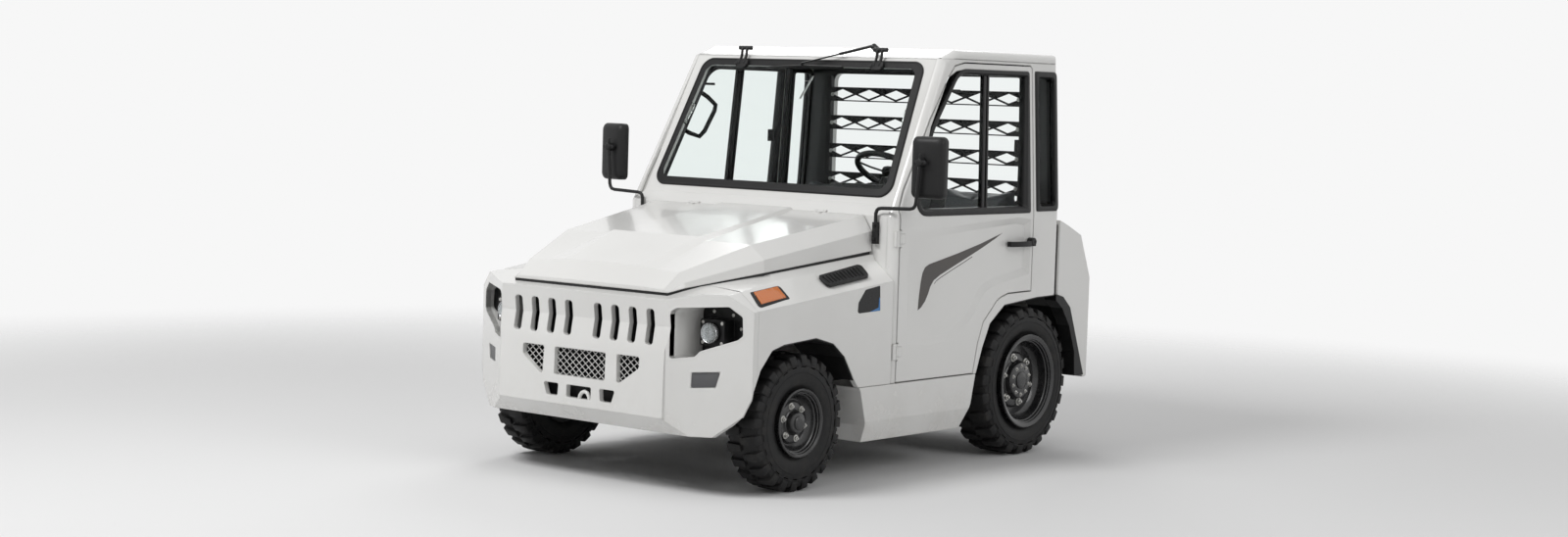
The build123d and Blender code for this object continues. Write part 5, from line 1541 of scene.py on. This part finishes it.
fitted("lamp_rings", rings, reflector, "vehicle")
fitted("lamp_glasses", domes, lamp_glass, "vehicle")
screw = bolt_head(0.0055, 0.004, 14).moved(Matrix.Rotation(math.radians(-90), 4, "Z"))
screws = Form()
for side in (-1, 1):
    for x, z in ((-0.045, 0.083), (0.060, 0.074), (-0.046, -0.078), (0.104, 0.020)):
        screws.plus(screw.moved(Matrix.Translation((side * (LAMP_X + x), PLATE_Y, LAMP_Z + z))))
    for x, z in ((-0.052, 0.042), (0.052, 0.042), (-0.052, -0.042), (0.052, -0.042)):
        screws.plus(screw.moved(Matrix.Translation((side * (LAMP_X + x), PLATE_Y - 0.062, LAMP_Z + z))))
fitted("lamp_screws", screws, zinc, "vehicle", 0.0006)

# Fog lamp blanks: a grey plastic plate clipped into the recess in each corner facet.
facet_x, facet_y = half_width - 0.317, fy(-0.535)
facet_way = Vector((half_width - facet_x, fy(-0.345) - facet_y, 0)).normalized()
facet_out = facet_way.cross(Vector((0, 0, 1)))
blank = Form()
blank_corners = rounded([
    (half_width - in_x, z) for in_x, z in ((0.221, 0.462), (0.133, 0.468), (0.118, 0.530), (0.2195, 0.5235))], (0.006,) * 4, 4)
blank_points = [
    Vector((x, facet_y + (x - facet_x) * facet_way.y / facet_way.x, z)) - facet_out * 0.0058 for x, z in blank_corners]
blank.slab(blank_points, facet_out * 0.0022)
grey_plastic = grained("grey lamp blank", 0.11, 0.38, 1200.0, 0.1, 0.002)
fitted("fog_lamp_blanks", blank.plus(blank.flipped()), grey_plastic, "vehicle", 0.0007)

# Front towing pin: a bent rod painted white, in the middle slot under the grille.
hook = Form().bar([(x, fy(-0.5285), z) for x, z in (
    (0.052, 0.352), (0.050, 0.372), (0.040, 0.388), (0.024, 0.394), (0.008, 0.388), (-0.004, 0.374), (-0.008, 0.352))], 0.0085, 12)
fitted("front_tow_pin", hook, outer_paint, "vehicle")

# Hood seal: a black rubber section on the body's edge, which the hood closes on.
HOOD_EDGE = (
    # distance behind the front axle, x in from the side, height of the hood's low edge
    (-0.495, 0.348, 0.845), (-0.414, 0.323, 0.863), (-0.079, 0.175, 0.925), (0.590, 0.126, 1.000),
)
seal_route = [(half_width - x_in, fy(d), z) for d, x_in, z in HOOD_EDGE]
seal_route = [(-x, y, z) for x, y, z in reversed(seal_route)] + seal_route
seal_rings = []
for i, point in enumerate(seal_route):
    point = Vector(point)
    into = (point - Vector(seal_route[i - 1])).normalized() if i else Vector()
    out = (Vector(seal_route[i + 1]) - point).normalized() if i + 1 < len(seal_route) else Vector()
    along = (into + out).normalized()
    inward = Vector((0, 0, 1)).cross(along).normalized()
    seal_rings.append([point + inward * a + Vector((0, 0, b)) for a, b in (
        (0.004, -0.0008), (0.016, -0.0008), (0.016, -0.022), (0.004, -0.022))])
fitted("hood_seal", Form().loft(seal_rings), rubber_lip, "vehicle", 0.002)

# Indicators: moulded amber lenses on a thin black base, screwed to the slope of each fender.
amber = Finish("amber lens", (0.85, 0.22, 0.02), 0.12, Transmission_Weight=0.2, IOR=1.49, Coat_Weight=0.5)
flute = amber.bands(38.0, "Y")
amber.set("Base Color", amber.blend(flute, (0.62, 0.12, 0.008), (0.93, 0.27, 0.02)))
amber.set("Roughness", 0.10 + flute * 0.10)
amber.bump(flute, 0.5, 0.0015, 0.004)
amber.assign_nodes("indicators")


def fender_height(x, y):
    """Height of the fender's slope at a point of the plan."""
    d = (y - front_axle_y) * 1000
    for near, far in zip(BODY_SECTIONS, BODY_SECTIONS[1:]):
        if near[0] <= d <= far[0]:
            share = (d - near[0]) / (far[0] - near[0])
            knee_in, knee_z, crease_z = (a + (b - a) * share for a, b in zip(near[3:], far[3:]))
            inner_in, inner_z = (a + (b - a) * share for a, b in zip(near[1:3], far[1:3]))
            in_x = (half_width - x) * 1000
            if in_x < knee_in:
                return (crease_z + (knee_z - crease_z) * in_x / knee_in) / 1000
            return (knee_z + (inner_z - knee_z) * (in_x - knee_in) / (inner_in - knee_in)) / 1000


SLOPE_IN = half_width - 0.098
lamp_plan = [
    (SLOPE_IN + 0.012, fy(-0.253)), (SLOPE_IN, fy(-0.085)), (SLOPE_IN + 0.064, fy(-0.102)), (SLOPE_IN + 0.073, fy(-0.273))]
lamp_middle = (SLOPE_IN + 0.037, fy(-0.178))
wide_plan = rounded([tuple(Vector(lamp_middle).lerp(Vector(p), 1.24)) for p in lamp_plan], (0.010,) * 4, 5)
angles = [2 * math.pi * k / 96 for k in range(96)]
plan_outer = rays(wide_plan, lamp_middle, angles)
plan_inner = rays(rounded(lamp_plan, (0.008,) * 4, 5), lamp_middle, angles)
bezel = Form().loft([
    [(p.x, p.y, fender_height(p.x, p.y) + h) for p in plan]
    for plan, h in ((plan_outer, -0.001), (plan_outer, 0.0035), (plan_inner, 0.006), (plan_inner, -0.001))
], closed=True)
fitted("indicator_bases", bezel.plus(bezel.flipped()), black_moulding, "vehicle")

# Vent screws: three small countersunk screws hold each louvred vent.
vent_screws = Form()
for x_in, d in ((0.030, 0.1925), (0.030, 0.4705), (0.004, 0.335)):
    x, y = SLOPE_IN + x_in, fy(d)
    z = fender_height(x, y) + 0.0066
    normal = Vector((fender_height(x - 0.001, y) - fender_height(x + 0.001, y),
                     fender_height(x, y - 0.001) - fender_height(x, y + 0.001), 0.002)).normalized()
    place = Matrix.Translation((x, y, z)) @ normal.to_track_quat("X", "Z").to_matrix().to_4x4()
    vent_screws.plus(bolt_head(0.0042, 0.0016, 14).moved(place))
fitted("vent_screws", vent_screws.plus(vent_screws.flipped()), zinc, "vehicle")

# Door stripe: a dark brown film cut as a long blade with a fine line under it, laid in the
# hollow of each door.
stripe_film = Finish("dark stripe film", (0.020, 0.014, 0.010), 0.30, Coat_Weight=0.3)
stripe_film.set("Base Color", stripe_film.blend(stripe_film.noise(5.0, 3.0), (0.013, 0.010, 0.008), (0.032, 0.021, 0.014)))
stripe_film.bump(stripe_film.noise(500.0, 2.0), 0.05, 0.0003)
FILM_PROUD, FILM_T = 0.0010, 0.0007


def in_hollow(points, proud):
    """Points (distance behind the front axle, z) on the floor of the door's hollow."""
    return [(dish_x(fy(d) * 1000) / 1000 + proud, fy(d), z) for d, z in points]


def film_strip(top, low):
    """One cross section of a film laid in the hollow, between two points of its edges."""
    return in_hollow([top, low], FILM_PROUD) + in_hollow([low, top], FILM_PROUD - FILM_T)


BLADE_TOP = ((0.7955, 0.736), (0.802, 0.800), (0.812, 0.862), (0.824, 0.904), (0.843, 0.928), (0.874, 0.940),
             (0.960, 0.956), (1.100, 0.982), (1.280, 1.020), (1.459, 1.0648))
BLADE_LOW = ((0.820, 0.748), (0.850, 0.775), (0.872, 0.808), (0.888, 0.840), (0.912, 0.866), (0.960, 0.888),
             (1.060, 0.922), (1.180, 0.962), (1.300, 1.003), (1.400, 1.040))
blade = Form().loft([film_strip(top, low) for top, low in zip(BLADE_TOP, BLADE_LOW)])
LINE = ((0.918, 0.850), (0.932, 0.862), (0.965, 0.876), (1.060, 0.909), (1.150, 0.939), (1.215, 0.962))
LINE_HALF = 0.0016
blade.plus(Form().loft([film_strip((d, z + LINE_HALF), (d, z - LINE_HALF)) for d, z in LINE]))
for side_name, form in (("left", blade), ("right", blade.flipped())):
    fitted(f"door_stripe_{side_name}", form, stripe_film, f"door_{side_name}")

# Side plates: a blank black plate with a blue corner on each fender.
plate_x = half_width + 0.0001
badge = Form().slab([(plate_x, fy(d), z) for d, z in rounded(
    [(0.347, 0.745), (0.508, 0.750), (0.502, 0.860), (0.400, 0.846), (0.352, 0.792)], (0.012, 0.006, 0.006, 0.012, 0.010), 4)],
    (0.0012, 0, 0))
plate_black = grained("black side plate", 0.010, 0.25, 1500.0, 0.05, 0.001)
fitted("side_plates", badge.plus(badge.flipped()), plate_black, "vehicle")
blue_film = Finish("blue film", (0.02, 0.16, 0.42), 0.25, Coat_Weight=0.3)
blue_film.set("Base Color", blue_film.blend(blue_film.noise(8.0, 2.0), (0.012, 0.13, 0.36), (0.025, 0.19, 0.48)))
blue_film.bump(blue_film.noise(500.0, 2.0), 0.05, 0.0003)
corner = Form().slab([(plate_x + 0.0012, fy(d), z) for d, z in (
    (0.430, 0.7478), (0.506, 0.7502), (0.5035, 0.806), (0.497, 0.808), (0.494, 0.764))], (0.0006, 0, 0))
fitted("side_plate_corners", corner.plus(corner.flipped()), blue_film, "vehicle")

# Mirrors: a silvered glass in the back of each case, and a cast clamp that holds it on its arm.
silver = Finish("silvered mirror glass", (0.86, 0.88, 0.89), 0.02, Metallic=1.0)
silver.set("Roughness", silver.soft(silver.noise(20.0, 4.0), 0.5, 0.9) * 0.04 + 0.01)
mirror_outline = rounded([(-0.074, -0.130), (0.074, -0.130), (0.074, 0.130), (-0.074, 0.130)], (0.022,) * 4, 6)
mirror_sheet = Form().slab([(x, 0.0242, z) for x, z in mirror_outline], (0, 0.0012, 0)).moved(mirror_place)
fitted("mirror_glasses", mirror_sheet.plus(mirror_sheet.flipped()), silver, "vehicle", 0.0004)
clamp_spot = Vector((half_width + 0.131, fy(0.586), 1.402))
clamp = Form().lathe([(-0.014, 0.006), (-0.012, 0.016), (0.006, 0.020), (0.016, 0.020)], clamp_spot, 28, (0, 1, 0), False)
for shift in (-0.026, 0.026):
    clamp.lathe([(-0.006, 0.008), (0.014, 0.009)], clamp_spot + Vector((shift, 0, 0)), 14, (0, 1, 0), False)
clamp.box(clamp_spot + Vector((-0.030, -0.004, -0.010)), clamp_spot + Vector((0.030, 0.010, 0.010)))
clamp.bar([clamp_spot + Vector((0, 0, 0.012)), clamp_spot + Vector((0, 0, 0.040))], 0.006, 12)
foot_spot = Vector((half_width - 0.100, fy(0.578), 1.085))
for shift in (-0.030, 0.030):
    clamp.lathe([(-0.010, 0.006), (0.004, 0.007)], foot_spot + Vector((0, 0, shift)), 12, (0, 1, 0), False)
fitted("mirror_clamps", clamp.plus(clamp.flipped()), black_moulding, "vehicle", 0.0012)

# Guard bolts: hexagon screws through the posts that carry the guard's slats.
guard_low, guard_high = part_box("rear_guard")
guard_bolts = []
bolt = bolt_head(0.007, 0.005).moved(Matrix.Rotation(math.radians(-90), 4, "Z"))
for x in (guard_low.x + 0.014, guard_high.x - 0.014):
    guard_bolts.append(repeated("bolts", bolt, zinc, 4, (x, guard_low.y - 0.0002, guard_low.z + 0.056), (0, 0, 0.144)))
group("guard_bolts", guard_bolts, zinc, "vehicle")

# Tow hitch bolts: four hexagon bolts hold the jaw's plate to the body.
hitch_low, hitch_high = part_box("tow_hitch")
jaw_bolt = bolt_head(0.010, 0.008).moved(Matrix.Rotation(math.radians(90), 4, "Z"))
JAW_BOLT_X, JAW_BOLT_Z = 0.0635, 0.362
jaw_bolts = [
    repeated("bolts", jaw_bolt, zinc, 2, (x, hitch_low.y + 0.0142, JAW_BOLT_Z), (0, 0, 0.090))
    for x in (-JAW_BOLT_X, JAW_BOLT_X)]
group("hitch_bolts", jaw_bolts, zinc, "vehicle")

# Studio: a plain pale floor that fades into a pale surround, and three soft lamps.
FLOOR_HALF = 40.0
FLOOR_TONE = 0.80
floor_mesh = bpy.data.meshes.new("studio_floor")
floor_corners = [(x * FLOOR_HALF, y * FLOOR_HALF, 0) for x, y in ((-1, -1), (1, -1), (1, 1), (-1, 1))]
floor_mesh.from_pydata(floor_corners, [], [(0, 1, 2, 3)])
floor = bpy.data.objects.new("studio_floor", floor_mesh)
bpy.context.scene.collection.objects.link(floor)
floor_finish = Finish("pale floor", (FLOOR_TONE, FLOOR_TONE, FLOOR_TONE), 0.9, Specular_IOR_Level=0.1)
x, y, z = floor_finish.along()
far = floor_finish.soft(x * x + y * y, 6.0, 60.0)
clear = floor_finish.tree.nodes.new("ShaderNodeBsdfTransparent")
mixed = floor_finish.tree.nodes.new("ShaderNodeMixShader")
floor_finish.join(mixed.inputs[0], far)
floor_finish.tree.links.new(floor_finish.shader.outputs[0], mixed.inputs[1])
floor_finish.tree.links.new(clear.outputs[0], mixed.inputs[2])
floor_finish.tree.links.new(mixed.outputs[0], floor_finish.tree.nodes["Material Output"].inputs["Surface"])
floor_finish.assign(floor)

AMBIENT = 0.36
BACKGROUND = 0.93
surround = bpy.data.worlds.new("pale surround")
bpy.context.scene.world = surround
surround.use_nodes = True
sky_nodes = surround.node_tree.nodes
sky_links = surround.node_tree.links
light_path = sky_nodes.new("ShaderNodeLightPath")
seen = light_path.outputs["Is Camera Ray"]
for label in ("Is Transmission Ray", "Is Glossy Ray"):
    either = sky_nodes.new("ShaderNodeMath")
    either.operation = "MAXIMUM"
    sky_links.new(seen, either.inputs[0])
    sky_links.new(light_path.outputs[label], either.inputs[1])
    seen = either.outputs[0]
strength = sky_nodes.new("ShaderNodeMapRange")
strength.inputs["To Min"].default_value = AMBIENT
strength.inputs["To Max"].default_value = BACKGROUND
sky_links.new(seen, strength.inputs["Value"])
sky_links.new(strength.outputs["Result"], sky_nodes["Background"].inputs["Strength"])
sky_nodes["Background"].inputs["Color"].default_value = (1.0, 1.0, 1.0, 1.0)

# name, place, size, power
SOFT_LAMPS = (
    ("key", (-1.0, -5.5, 6.5), 2.6, 330.0),
    ("side", (7.5, -0.5, 4.5), 4.0, 110.0),
    ("rear", (-4.0, 5.5, 5.5), 4.0, 150.0),
)
for lamp_name, place, size, power in SOFT_LAMPS:
    light = bpy.data.lights.new(lamp_name, "AREA")
    light.shape = "DISK"
    light.size = size
    light.energy = power
    lamp = bpy.data.objects.new(lamp_name, light)
    bpy.context.scene.collection.objects.link(lamp)
    lamp.location = place
    lamp.rotation_euler = (Vector((0.0, 0.0, 0.8)) - Vector(place)).to_track_quat("-Z", "Y").to_euler()
